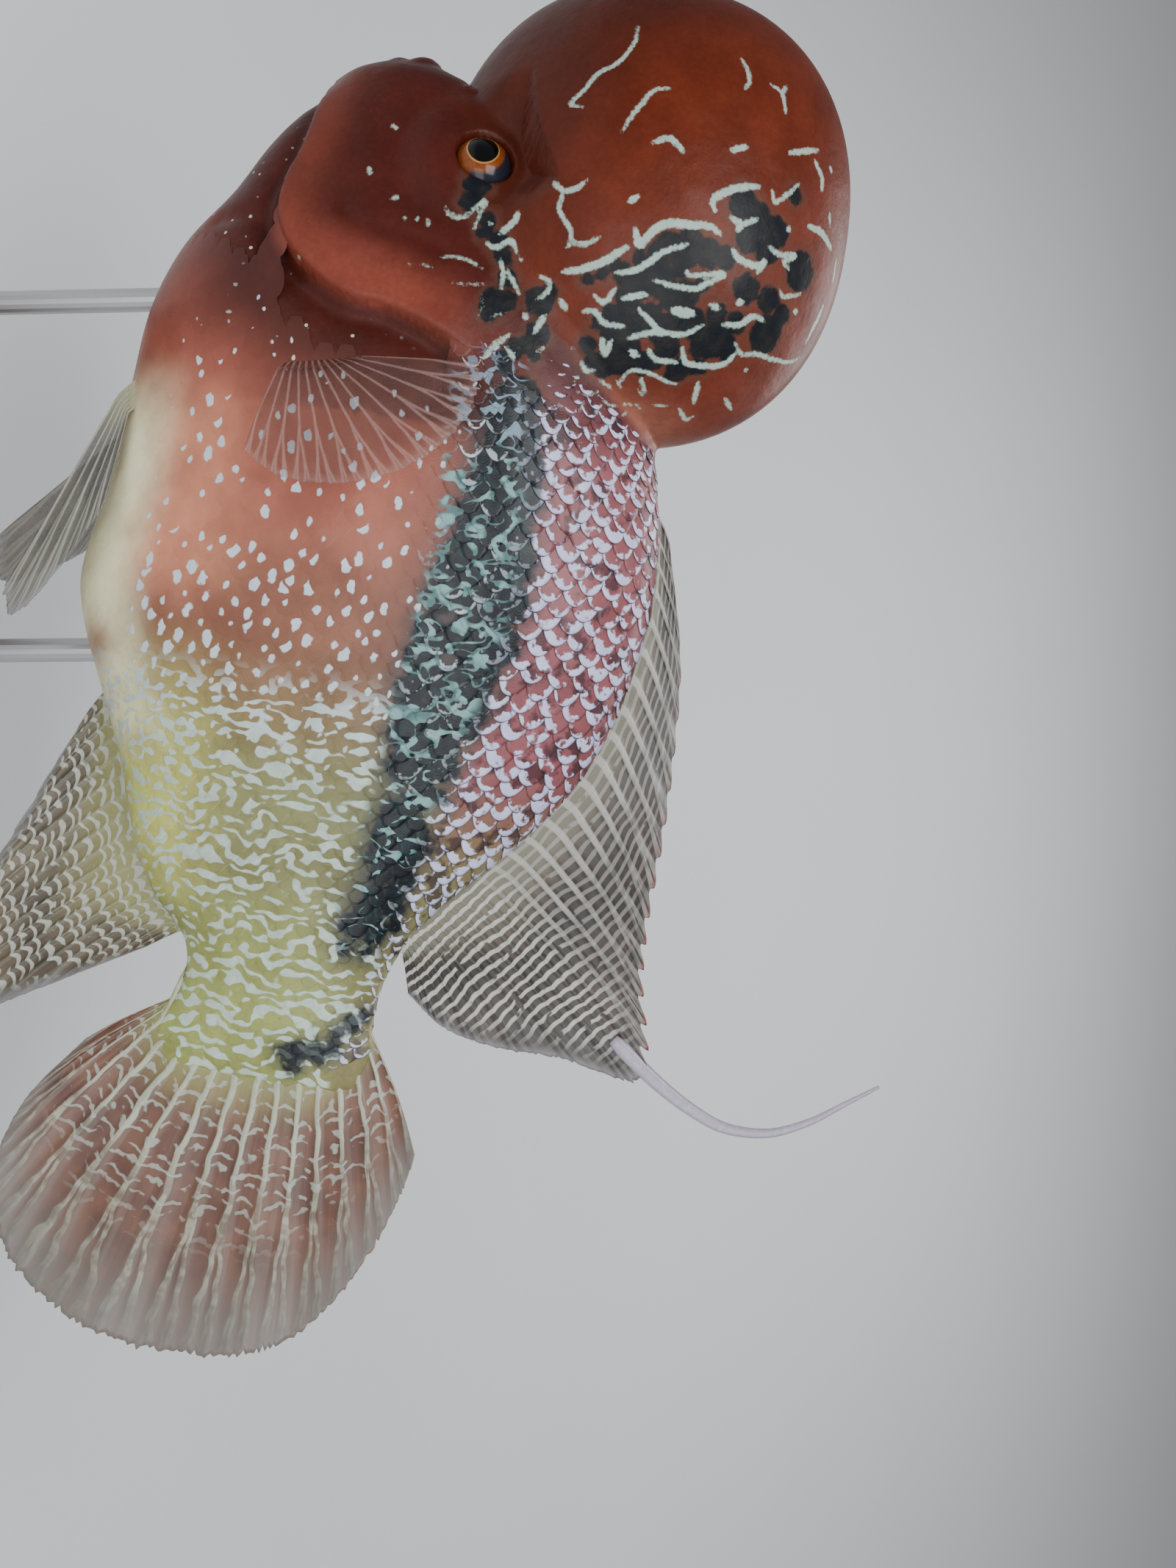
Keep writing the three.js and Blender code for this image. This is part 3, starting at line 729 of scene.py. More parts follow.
def head_relief(skin, photo):
    """Raises the gill covers, and sinks the eye sockets, nostrils and folds."""
    p = points_of(skin)
    near = np.nonzero(p[:, 0] < HEAD_END)[0]
    q = mirrored(p[near])
    lift = gill_relief(q, photo)
    for fold, depth, wide in FOLDS:
        distance, _ = nearest(q, line_on_skin(photo, fold))
        lift -= depth * bell(distance, wide)
    centre, facing = on_flank(EYE.x, EYE.z, LEFT)
    offset = q - centre
    height = offset @ facing
    across = np.linalg.norm(offset - height[:, None] * facing, axis=1)
    bed = (np.abs(height) < 11) * (1 - smooth(across, SOCKET.bed_from, SOCKET.bed_to))
    rim = SOCKET.rim * (bell(across - EYE.radius - 1.0, SOCKET.rim_wide) + 1)
    socket = -SOCKET.depth * (1 - smooth(across, EYE.radius - 1.1, EYE.radius + 0.1))
    lift *= 1 - bed
    pit, _ = on_flank(NOSTRIL.x, NOSTRIL.z, LEFT)
    away = np.linalg.norm(q - pit, axis=1)
    lift -= PIT.depth * (1 - smooth(away, 0.4, NOSTRIL.radius))
    lift += PIT.rim * bell(away - PIT.rim_at, PIT.rim_wide)
    p[near] += normals_of(skin)[near] * lift[:, None]
    shift = (rim + socket - height)[:, None] * bed[:, None] * facing
    shift[:, 1] *= np.where(p[near, 1] < 0, 1, -1)
    p[near] += shift
    move_points(skin, p)


# Markings

# Turquoise strokes: half the width, then the points, all in pixels of the photograph.
HUMP_STROKES = [
    (4, (868, 36), (863, 58), (841, 85), (814, 100), (795, 122), (776, 141), (792, 145)), (4, (912, 120),
    (890, 123), (874, 140), (858, 160), (846, 180)), (5, (888, 194), (912, 188), (930, 207)), (5,
    (993, 205), (1017, 199)), (5, (1073, 208), (1113, 204)), (4, (1009, 80), (1018, 97), (1019, 112),
    (1013, 121)), (4, (1049, 115), (1064, 127), (1069, 154)), (4, (1064, 127), (1070, 117)), (5,
    (1109, 219), (1118, 241), (1118, 259)), (4, (1130, 229), (1131, 232)), (5, (855, 274), (869, 267)), (6,
    (721, 241), (729, 219)), (4.5, (734, 239), (749, 245), (766, 259), (783, 257), (799, 245)), (4,
    (767, 259), (761, 286), (776, 312), (776, 330), (770, 337)), (4, (776, 330), (797, 332), (817, 322)),
    (1.5, (725, 143), (723, 174)), (6, (765, 370), (792, 366), (819, 357), (841, 344), (855, 335)), (6.5,
    (864, 310), (870, 333), (890, 313), (912, 304), (939, 306), (966, 308), (980, 319)), (5, (837, 371),
    (863, 368), (886, 355), (904, 342), (935, 333)), (6, (973, 286), (970, 272), (993, 259), (1015, 254),
    (1033, 254)), (5, (993, 295), (1011, 304), (1031, 298)), (5, (1011, 304), (1002, 315)), (4, (1051, 259),
    (1055, 275), (1073, 263), (1087, 250)), (3.5, (1129, 290), (1129, 308)), (6, (1100, 308), (1118, 317),
    (1131, 339)), (3.5, (1138, 353), (1133, 384)), (4.5, (1046, 335), (1060, 346), (1082, 348), (1067, 357),
    (1073, 366)), (5.5, (997, 339), (1006, 353), (1029, 362), (1040, 357), (1031, 371)), (4.5, (890, 382),
    (912, 388), (944, 393), (962, 386), (984, 373), (939, 375), (933, 368)), (3.5, (1060, 395), (1067, 404),
    (1091, 400)), (4.5, (1120, 415), (1113, 433), (1104, 451), (1096, 467)), (5, (846, 406), (881, 400)),
    (4.5, (808, 402), (823, 411), (837, 391)), (4.5, (868, 420), (886, 438), (899, 451), (930, 455),
    (957, 442)), (4.5, (854, 460), (886, 453), (912, 455)), (4.5, (792, 424), (810, 424), (823, 440),
    (850, 444)), (5.5, (761, 408), (772, 422)), (7.5, (914, 422), (944, 428)), (5.5, (966, 415),
    (979, 420)), (5.5, (1002, 413), (1011, 410)), (5, (982, 442), (1006, 442), (1024, 431), (1040, 437)),
    (4, (1000, 467), (1009, 482), (1029, 482), (1051, 489), (1073, 493), (1087, 487)), (5, (928, 473),
    (933, 493), (957, 498), (984, 496), (1000, 482)), (4.5, (881, 475), (892, 489), (921, 493)), (6,
    (857, 478), (868, 484)), (6, (819, 460), (823, 480), (832, 464)), (4, (790, 489), (796, 504),
    (810, 504)), (3.5, (843, 520), (859, 504), (886, 509), (908, 520), (921, 522)), (3.5, (872, 513),
    (877, 536)), (4.5, (950, 520), (944, 549)), (4, (986, 542), (995, 558)), (4, (924, 556), (933, 571),
    (942, 567)), (2.5, (888, 551), (908, 553)), (3, (814, 516), (832, 529)), (3.5, (1015, 504)), (5,
    (1082, 424)), (5, (1073, 312)),
]
FACE_STROKES = [
    (4.5, (609, 214), (622, 243), (611, 272), (609, 290), (627, 297), (645, 286), (660, 272), (656, 286),
    (645, 312)), (3.5, (674, 257), (678, 281)), (5.5, (705, 286), (700, 301), (680, 319)), (4, (667, 304)),
    (4.5, (660, 330), (674, 337), (696, 328), (703, 344)), (4, (680, 353), (685, 371), (680, 397)), (4,
    (689, 366), (707, 402)), (3.5, (709, 353)), (3.5, (600, 350), (618, 350), (636, 355), (656, 366)), (3.5,
    (611, 386), (636, 388), (660, 388)), (3.5, (654, 402), (656, 420), (645, 442)), (3.5, (663, 433),
    (689, 426)), (3.5, (611, 424), (627, 431), (640, 420)), (3.5, (588, 409), (616, 407)), (4, (732, 375),
    (747, 382), (745, 397), (729, 409)), (6, (714, 431)), (5.5, (725, 455), (741, 429)), (4.5, (658, 489),
    (671, 471), (694, 455)), (4, (689, 473), (700, 491)), (4, (743, 469), (729, 482)), (4, (604, 194)), (4,
    (697, 205), (700, 222)), (4, (535, 172), (539, 175)), (4, (502, 226), (504, 240)), (4.5, (531, 272),
    (543, 267)), (3.5, (551, 297)), (4, (568, 298)), (3, (583, 300), (583, 307)), (3.5, (418, 308),
    (424, 302)), (4, (405, 352), (410, 347)), (5, (464, 368), (465, 374)), (3.5, (503, 366), (512, 364)),
    (3.5, (556, 362), (560, 361)), (4, (565, 404), (568, 406)), (3.5, (570, 360), (590, 366)), (3,
    (331, 356), (332, 362)), (2.5, (318, 387), (321, 388)), (2.5, (309, 423), (314, 424)), (2, (395, 446)),
    (2, (420, 446), (425, 447)), (2, (378, 458), (381, 461)), (2, (391, 503)), (2, (447, 455), (452, 451)),
    (2, (478, 455)), (2, (500, 437), (510, 440)), (2, (483, 430), (489, 434)),
]
# The first scale edges on the nape, which the hump's foot covers with skin.
NAPE_STROKES = [
    (2.2, (770, 474), (782, 475)), (2.4, (781, 518), (785, 512)), (2.4, (782, 530), (788, 536), (800, 540),
    (814, 532)), (2.6, (755, 548), (766, 554)), (2.6, (787, 560), (795, 550)), (2.8, (801, 562), (810, 562),
    (822, 557)), (2.6, (820, 545), (828, 551), (840, 553)), (2.2, (848, 550), (860, 552)), (2.2, (865, 550),
    (872, 558)), (2.8, (822, 576), (832, 580), (848, 578)), (3.0, (802, 592), (812, 590), (822, 582)), (2.4,
    (752, 576), (764, 573)), (2.6, (760, 590), (766, 596), (771, 603)), (2.8, (784, 598), (793, 602)), (2.0,
    (745, 520), (753, 526)), (2.2, (838, 516), (845, 528)), (2.2, (868, 530), (876, 540)), (2.4, (845, 566),
    (853, 562)),
]
# Rounded black cells between the strokes: x, y and radius.
HUMP_CELLS = [
    (1012, 277, 22), (1031, 300, 24), (1055, 316, 22), (1044, 340, 20), (1020, 325, 20), (1089, 370, 27),
    (1082, 266, 12), (912, 338, 22), (940, 338, 24), (963, 345, 20), (893, 345, 15), (872, 352, 12),
    (868, 388, 20), (850, 384, 12), (904, 393, 18), (935, 400, 18), (955, 385, 12), (832, 430, 15),
    (850, 402, 14), (842, 432, 13), (975, 462, 26), (956, 470, 20), (1042, 455, 27), (1062, 430, 16),
    (1015, 393, 20), (1046, 408, 18), (908, 473, 18), (921, 504, 18), (890, 490, 14), (872, 496, 15),
    (841, 487, 24), (820, 494, 18), (806, 490, 12), (886, 430, 18), (912, 436, 12), (838, 465, 16),
    (860, 476, 12), (838, 360, 10), (905, 372, 14), (925, 362, 14), (870, 445, 15), (880, 370, 20),
    (920, 405, 24), (860, 425, 20), (905, 450, 24), (940, 440, 22), (850, 465, 20), (880, 492, 16),
    (830, 448, 16), (815, 440, 12), (800, 470, 13), (985, 350, 16), (975, 430, 17), (800, 380, 8),
    (820, 372, 9), (1000, 440, 16), (990, 478, 14), (950, 500, 12), (848, 370, 14),
]
FACE_CELLS = [
    (650, 250, 19), (640, 275, 16), (662, 300, 12), (660, 316, 11), (678, 330, 15), (685, 352, 11),
    (690, 380, 13), (674, 412, 20), (664, 425, 14), (690, 410, 14), (734, 410, 20), (748, 400, 11),
    (730, 455, 17), (716, 470, 13), (685, 487, 15), (700, 475, 15), (725, 483, 9), (690, 500, 8),
]
# The dark band along the flank: x, y and radius, its first part black between teal pearls, its last black.
BAND_CELLS = [
    (708, 540, 22), (690, 570, 22), (708, 590, 24), (676, 600, 16), (680, 640, 24), (712, 640, 24),
    (700, 680, 28), (668, 700, 20), (690, 730, 26), (655, 750, 20), (700, 770, 24), (670, 790, 24),
    (640, 810, 18), (690, 820, 24), (660, 850, 26), (625, 870, 20), (680, 880, 22), (650, 910, 24),
    (610, 930, 20), (640, 960, 22), (600, 980, 20), (650, 660, 14), (640, 700, 15), (632, 740, 16),
    (615, 775, 18), (600, 815, 18), (585, 860, 19), (572, 900, 20), (588, 935, 20), (558, 940, 18),
    (566, 975, 19), (545, 1000, 17), (572, 1020, 20), (600, 1015, 20), (628, 990, 18), (545, 1042, 17),
    (575, 1052, 18), (604, 1045, 16),
]
BLACK_CELLS = [
    (577, 1075, 17), (600, 1088, 13), (560, 1095, 19), (540, 1110, 22), (530, 1135, 24), (560, 1130, 22),
    (520, 1160, 22), (550, 1165, 26), (576, 1150, 14), (520, 1190, 18), (550, 1195, 20), (510, 1215, 14),
    (530, 1225, 24), (505, 1240, 22), (482, 1262, 20), (510, 1268, 18), (535, 1262, 12), (470, 1290, 12),
    (500, 1295, 10), (538, 1240, 12), (430, 1430, 19), (452, 1428, 14), (408, 1434, 17), (387, 1432, 14),
    (397, 1452, 10), (478, 1392, 14), (462, 1405, 10), (492, 1380, 9),
]


PIXEL = CAMERA.distance * SENSOR / CAMERA.lens / max(PHOTO_SIZE) * 0.94
BAND_GROWTH = 1.3
FAR = 9


def cell_level(points, photo, cells, pixel):
    """How far each point is inside the nearest of the cells, in millimetres. Outside it is below 0."""
    places, found = photo.find([cell[:2] for cell in cells])
    level = np.full(len(points), -99.0)
    for place, i in zip(places, found):
        level = np.maximum(level, cells[i][2] * pixel - np.linalg.norm(points - place, axis=1))
    return level


def stroke_level(points, photo, strokes):
    """How far each point is inside the nearest stroke. A long stroke is thinner at its ends."""
    places = []
    radii = []
    for half, *line in strokes:
        on_skin, _ = photo.find(curve_through(line, 2.5))
        places.append(on_skin)
        share = np.linspace(-1, 1, len(on_skin)) if len(on_skin) > 3 else np.zeros(len(on_skin))
        radii += (half * PIXEL * 0.92 * (0.45 + 0.55 * np.sqrt(1 - share ** 2))).tolist()
    distance, which = nearest(points, np.concatenate(places))
    return np.array(radii)[which] - distance


def markings(points, photo):
    """The levels of strokes and black cells at points of the straight fish: above 0 inside them."""
    q = mirrored(points)
    stroke = np.full(len(q), -FAR, float)
    ink = np.full(len(q), -FAR, float)
    fore = np.nonzero(q[:, 0] < -52)[0]
    if len(fore):
        stroke[fore] = stroke_level(q[fore], photo, HUMP_STROKES + FACE_STROKES + NAPE_STROKES)
        ink[fore] = cell_level(q[fore], photo, HUMP_CELLS + FACE_CELLS, PIXEL)
    aft = np.nonzero(q[:, 0] > -95)[0]
    for cells, pixel in ((BLACK_CELLS, PIXEL), (BAND_CELLS, PIXEL * BAND_GROWTH)):
        ink[aft] = np.maximum(ink[aft], cell_level(q[aft], photo, cells, pixel))
    return np.clip(stroke, -FAR, FAR), np.clip(ink, -FAR, FAR)


# Colours, as light reflected in red, green and blue.
COLORS = SimpleNamespace(
    # The hump's top colour is painted highlight: its top and back made lighter and pinker, as where light falls
    # on it.
    hump=(0.128, 0.020, 0.007), hump_sheen_top=(0.165, 0.046, 0.032), hump_under=(0.34, 0.13, 0.085),
    face=(0.068, 0.010, 0.006), cheek_edge=(0.16, 0.028, 0.015), throat=(0.21, 0.050, 0.026),
    # The slit colour is painted shadow, laid in the groove under the gill cover's free edge.
    nape=(0.070, 0.017, 0.019), behind_gill=(0.056, 0.010, 0.007), slit=(0.055, 0.010, 0.007),
    shoulder=(0.27, 0.064, 0.041), front=(0.385, 0.117, 0.076), front_low=(0.62, 0.24, 0.145),
    mid=(0.215, 0.095, 0.058), rosy=(0.275, 0.090, 0.100), belly=(0.95, 0.92, 0.60), vent=(0.33, 0.09, 0.06),
    rear=(0.225, 0.24, 0.097), rear_low=(0.56, 0.57, 0.15), stalk=(0.29, 0.325, 0.095),
    teal_ground=(0.035, 0.040, 0.042), ink=(0.006, 0.008, 0.012), stroke=(0.42, 0.52, 0.46),
    lavender=(0.68, 0.71, 0.97), pearl=(0.66, 0.78, 0.86), worm=(0.53, 0.65, 0.57),
    teal=(0.075, 0.17, 0.17), teal_light=(0.22, 0.40, 0.40), band_pale=(0.21, 0.28, 0.38),
)
# The dark band's middle and half its height along the flank.
band_height = through([[-100, 18], [-80, 17], [-61, 18], [-37, 20], [-20, 19], [-6, 17], [15, 12], [33, 8.5],
                       [47, 5.5], [66, 3.5], [80, -2]])
band_half = through([[-100, 7], [-61, 8], [-37, 9], [-10, 9.5], [15, 8], [33, 6.5], [47, 6], [66, 5],
                     [80, 5]])


def regions(p):
    """How much each point of the straight fish belongs to each part of its colouring."""
    x, z = p[:, 0], p[:, 2]
    above_band = (z - band_height(x)) / band_half(x)
    return SimpleNamespace(
        back=smooth(above_band, 0.5, 1.6) * smooth(x, -92, -76),
        band=np.exp(-(above_band ** 2) * 0.9) * smooth(x, -88, -72) * (1 - smooth(x, 46, 62)),
        rear=smooth(x + (above_band > 0) * 0.25 * (z - band_height(x)), -14, 26),
        stalk=smooth(x, 34, 62),
        belly=1 - smooth(z - belly(x), 4 + 3 * smooth(x, -62, -34) - 6 * smooth(x, -8, 4), 23),
        head=1 - smooth(x - 0.34 * (z + 10), -93, -80),
    )


def ground_color(p, photo, is_hump):
    """The smooth colour under the markings, at points of the straight fish."""
    r = regions(p)
    x, z = p[:, 0], p[:, 2]
    c = {name: np.array(value) for name, value in vars(COLORS).items()}

    def laid(color, layers):
        for name, weight in layers:
            color = mix(color, c[name], weight[:, None])
        return color

    color = laid(np.tile(c["front"], (len(p), 1)), [
        ("shoulder", 1 - smooth(x, -84, -50)),
        ("mid", smooth(x, -44, -14) * 0.8),
        ("front_low", smooth(-z, 22, 42) * smooth(x, -62, -48) * (1 - smooth(x, -26, -8))),
        ("rear", r.rear * 0.95),
        ("rear_low", r.rear * smooth(-z, 20, 42) * (1 - smooth(x, 40, 60)) * 0.92),
        ("stalk", r.stalk * smooth(-z, -16, 18)),
        ("rosy", r.back * (1 - 0.85 * smooth(x, 8, 40))),
        ("teal_ground", r.band * 0.8),
        ("belly", r.belly * smooth(x, -66, -46) * (1 - smooth(x, 6, 24))),
        ("vent", bell(x + 3, 5) * bell(z + 59, 4.5) * 0.7),
        ("nape", smooth(z, 10, 18) * (1 - smooth(x, -74, -50)) * 0.95),
    ])
    head = laid(np.tile(c["throat"], (len(p), 1)), [("face", smooth(z, -44, -16))])
    color = mix(color, head, r.head[:, None])
    fore = np.nonzero(x < HEAD_END)[0]
    q = mirrored(p[fore])
    edge = line_on_skin(photo, GILL_EDGE)
    gap = signed_distance(q, edge)
    color[fore] = laid(color[fore], [
        ("behind_gill", smooth(-gap, 0, 3) * (1 - smooth(-gap, 7, 34)) * 0.95),
        ("cheek_edge", bell(gap - 3, 5) * 0.6),
        # Painted shadow in the slit under the gill cover's free edge.
        ("slit", bell(gap + 2.4, 2.8) * 0.7 * smooth(nearest(q, edge[-1:])[0], 2, 16)),
    ])
    # Painted highlight: how much of the lighter, pinker colour lies on the hump's top and back.
    outward = smooth((z - HUMP.z) / HUMP.above + 0.5 * (x - HUMP.x) / HUMP.behind, 0.55, 1.15)
    # Painted shade: the hump's colour darkened low and in front, towards the eye.
    hump = laid(c["hump"] * mix(0.55, 1, smooth(z + 0.5 * (x + 100), 8, 40))[:, None], [
        ("hump_sheen_top", outward * 0.75),
        ("hump_under", smooth(x, -74, -63) * smooth(z, 26, 38) * (1 - smooth(z, 46, 66))),
    ])
    return mix(color, hump, is_hump[:, None])


def dress(piece, points, photo, is_hump):
    """Keeps on a piece all that its markings are painted from."""
    stroke, ink = markings(points, photo)
    r = regions(points)
    ground = ground_color(points, photo, is_hump)
    store(piece, "fish", points)
    store(piece, "stroke", stroke)
    store(piece, "ink", ink)
    store(piece, "zone", np.stack([r.back, r.band, r.rear], 1))
    store(piece, "ground", np.column_stack([ground, np.ones(len(ground))]))


# Looks that skin and scales share. One turn of a sine is a line and the gap beside it.

TURN = 6.283
WORM_PERIOD = 3.15


def mottled_ground(n, place):
    """The stored colour, lighter and darker in soft patches."""
    mottle = n.step(n.noise(place, 0.09, 4), 0.3, 0.7)
    return n.product(n.stored("ground", "Color"), n.tint(mottle, (0.84, 0.80, 0.80), (1.12, 1.14, 1.16)))


def worm_lines(n, place, zone):
    """Short wavy bars with rounded ends, that run up and down the rear flank."""
    on_back, on_band, on_rear = zone
    x, _, _ = n.split(place)
    drift = n.sway(place, 0.13, 1, 3.4) + n.sway(place, 0.38, 0, 0.9)
    breaks = n.noise(n.scaled(place, (1.0, 1.0, 0.75)), 0.50, 0) - 0.5
    wave = n.sine((x / WORM_PERIOD + drift) * TURN) + breaks * (n.step(x, 34, 4) * 1.4 + 5.4)
    return n.step(wave, 0.1, 0.75) * n.step(on_rear, 0.12, 0.5) * n.step(on_back + on_band, 0.75, 0.4)


def band_marks(n, place, on_band):
    """Bold broken squiggles on the dark band, few at its end. Their colour is pale in front and teal behind."""
    x, _, _ = n.split(place)
    field = n.noise(n.scaled(place, (1.15, 1.0, 0.85)), 0.33, 1, 0.5)
    often = n.step(x, -66, -34) * 0.085 - n.step(x, 2, 16) * 0.13 - 0.03
    ridge = abs(n.noise(n.scaled(place, (1.2, 1.0, 0.8)), 0.24, 0, 0.8) - 0.5)
    marks = n.step((field + often) * 0.5 - ridge * 1.1, 0.205, 0.225)
    marks = marks * n.step(on_band, 0.34, 0.6) * n.step(x, -74, -66)
    teal = n.tint(n.step(field, 0.50, 0.66), COLORS.teal, COLORS.teal_light)
    return marks, n.tint(n.step(x, -66, -46), COLORS.band_pale, teal)


def skin_material():
    n = Nodes("fish_skin")
    place = n.vector("fish")
    zone = n.split(n.vector("zone"))
    fine = n.step(n.noise(place, 0.9, 3), 0.35, 0.7)
    ground = n.product(mottled_ground(n, place), n.tint(fine, (0.93, 0.92, 0.92), (1.05, 1.07, 1.08)))
    ink_level = n.number("ink") + n.sway(place, 0.55, 3, 2.2)
    color = n.tint(n.step(ink_level, -2.6, 0.0) * 0.55, ground, (0.10, 0.045, 0.03))
    inner = n.tint(n.step(n.noise(place, 0.35, 3), 0.35, 0.75), COLORS.ink, (0.016, 0.015, 0.014))
    color = n.tint(n.step(ink_level, -0.5, 0.35), color, inner)
    stroke = n.step(n.number("stroke") + n.sway(place, 1.3, 2, 0.9), -0.22, 0.28)
    chalk = n.tint(n.noise(place, 0.8, 3), (0.26, 0.40, 0.35), (0.52, 0.64, 0.56))
    color = n.tint(stroke * 0.93, color, chalk)
    speck = n.step(n.cells(place, 0.40), 0.19, 0.10) * n.step(n.noise(place, 0.2, 2), 0.44, 0.5)
    color = n.tint(speck * n.number("speck"), color, (0.62, 0.55, 0.55))
    color = n.tint(worm_lines(n, place, zone) * 0.9, color, COLORS.worm)
    squiggles, tone = band_marks(n, place, zone[1])
    color = n.tint(squiggles * 0.9, color, tone)
    normal = n.bump(stroke * 0.5 + n.noise(place, 1.6, 4) * 0.5, 0.00018, 0.7)
    normal = n.bump(n.noise(place, 0.16, 3), 0.0009, 0.5, Normal=normal)
    rough = n.tint(n.noise(place, 0.3, 3), (0.36, 0.36, 0.36), (0.50, 0.50, 0.50))
    n.finish(Base_Color=color, Roughness=rough, Normal=normal, Subsurface_Weight=0.04, Subsurface_Scale=0.002,
             Subsurface_Radius=(1.0, 0.35, 0.2), Coat_Weight=0.05, Coat_Roughness=0.12,
             Specular_IOR_Level=0.18)
    return n.material


# The eyes

PUPIL = SimpleNamespace(ahead=0.75, down=1.0)


def eye_material():
    n = Nodes("fish_eye")
    ring = n.number("ring")
    x, y, _ = n.split(n.vector("eye"))
    fibres = n.noise(n.scaled(n.vector("eye"), (0.9, 0.9, 0.9)), 1.4, 4)
    iris = n.tint(fibres, (0.10, 0.018, 0.004), (0.28, 0.075, 0.012))
    color = n.tint(n.step(ring, 3.75, 3.5), iris, (0.42, 0.22, 0.06))
    color = n.tint(n.step(ring, 3.42, 3.28), color, (0.002, 0.002, 0.002))
    # Painted shadow of the socket's rim, dark on the eye's upper rear.
    socket_shadow = n.step(x * 0.8 + y, 1.6, 4.2) * n.step(ring, 4.6, 5.3)
    color = n.tint(socket_shadow, color, (0.014, 0.016, 0.026))
    color = n.tint(n.step(n.number("edge"), 0.86, 0.97), color, (0.05, 0.016, 0.012))
    n.finish(Base_Color=color, Roughness=0.22, Coat_Weight=0.4, Coat_Roughness=0.02, Coat_IOR=1.35,
             Specular_IOR_Level=0.2)
    return n.material


def add_eye(word, side, material):
    point, normal = on_flank(EYE.x, EYE.z, side)
    centre = point + normal * (EYE.proud - EYE.depth)
    along = unit(np.cross(normal, [0, 0, 1.0]))
    up = np.cross(normal, along)
    along *= np.sign(along[0])
    up *= np.sign(up[2])
    reach = np.linspace(0, 1, 26)[1:]
    angles = np.linspace(0, 2 * np.pi, 64, endpoint=False)
    latitude, angle = np.meshgrid(reach * np.pi * 0.62, angles, indexing="ij")
    across = np.sin(latitude) * EYE.radius * 0.985
    bulge = EYE.depth * 0.97
    a, b = across * np.cos(angle), across * np.sin(angle)
    rings = centre + a[..., None] * along + b[..., None] * up + (bulge * np.cos(latitude))[..., None] * normal
    points, faces = closed_loft(rings, centre + normal * bulge)
    eye = mesh_object(f"eyeball_{word}", posed(points), faces)
    face_outward(eye)
    a, b = [np.append(values.ravel(), [0, 0]) for values in (a, b)]
    ahead, above = a + PUPIL.ahead, b + PUPIL.down
    store(eye, "eye", np.stack([ahead, above, np.zeros(len(a))], 1))
    store(eye, "ring", np.hypot(ahead * 0.93, above * 1.06))
    store(eye, "edge", np.hypot(a, b) / EYE.radius)
    eye.data.materials.append(material)
    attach(eye, "root")
    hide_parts(f"eye_{word}")


# Scales

# The distance from one column and row of scales to the next where they are largest, and a scale's own size.
COLUMN = 2.8
ROW = 5.5
SCALE_LENGTH = 9.6
SCALE_WIDTH = 6.3
SCALE_THICK = 0.13
# A scale's outline: places along it from its root, the width there, and places across it.
SCALE_ALONG = np.array([0, 0.3, 0.55, 0.76, 0.91, 1.0])
SCALE_WIDE = np.array([0.5, 0.88, 1.0, 0.88, 0.58, 0.14])
SCALE_ACROSS = np.array([-1, -0.6, -0.2, 0.2, 0.6, 1.0])
scale_size = through([[-98, 0.62], [-76, 0.72], [-50, 0.94], [-10, 1.06], [20, 0.96], [50, 0.76], [84, 0.58]])


COAT_START = -104
COAT_LOW = -100


class Flank:
    """The body's left surface by x and by w, the distance along the section from the dark band's middle."""

    def __init__(self):
        self.xs = np.linspace(COAT_START, BODY_END, 189)
        self.ws = np.linspace(COAT_LOW, 80, 361)
        angles = np.linspace(-np.pi / 2, np.pi / 2, 361)
        points = body_surface(self.xs[:, None], angles[None, :])
        steps = np.linalg.norm(np.diff(points, axis=1), axis=2)
        arc = np.concatenate([np.zeros((len(self.xs), 1)), np.cumsum(steps, 1)], 1)
        self.angles = np.empty((len(self.xs), len(self.ws)))
        self.low = np.empty(len(self.xs))
        self.high = np.empty(len(self.xs))
        for i, x in enumerate(self.xs):
            w = arc[i] - np.interp(band_height(x), points[i, :, 2], arc[i])
            self.angles[i] = np.interp(self.ws, w, angles)
            self.low[i], self.high[i] = w[0], w[-1]

    def angle(self, x, w):
        i = np.clip((x - self.xs[0]) / (self.xs[1] - self.xs[0]), 0, len(self.xs) - 1.001)
        j = np.clip((w - self.ws[0]) / (self.ws[1] - self.ws[0]), 0, len(self.ws) - 1.001)
        i0, j0 = i.astype(int), j.astype(int)
        fi, fj = i - i0, j - j0
        a = self.angles
        return (a[i0, j0] * (1 - fi) * (1 - fj) + a[i0 + 1, j0] * fi * (1 - fj)
                + a[i0, j0 + 1] * (1 - fi) * fj + a[i0 + 1, j0 + 1] * fi * fj)

    def point(self, x, w):
        return body_surface(x, self.angle(x, w))

    def normal(self, x, w):
        step = 0.6
        along = self.point(x + step, w) - self.point(x - step, w)
        across = self.point(x, w + step) - self.point(x, w - step)
        normal = np.cross(across, along)
        length = np.linalg.norm(normal, axis=-1, keepdims=True)
        normal /= np.maximum(length, 1e-9)
        return normal * np.where(normal[..., 1:2] > 0, -1, 1)


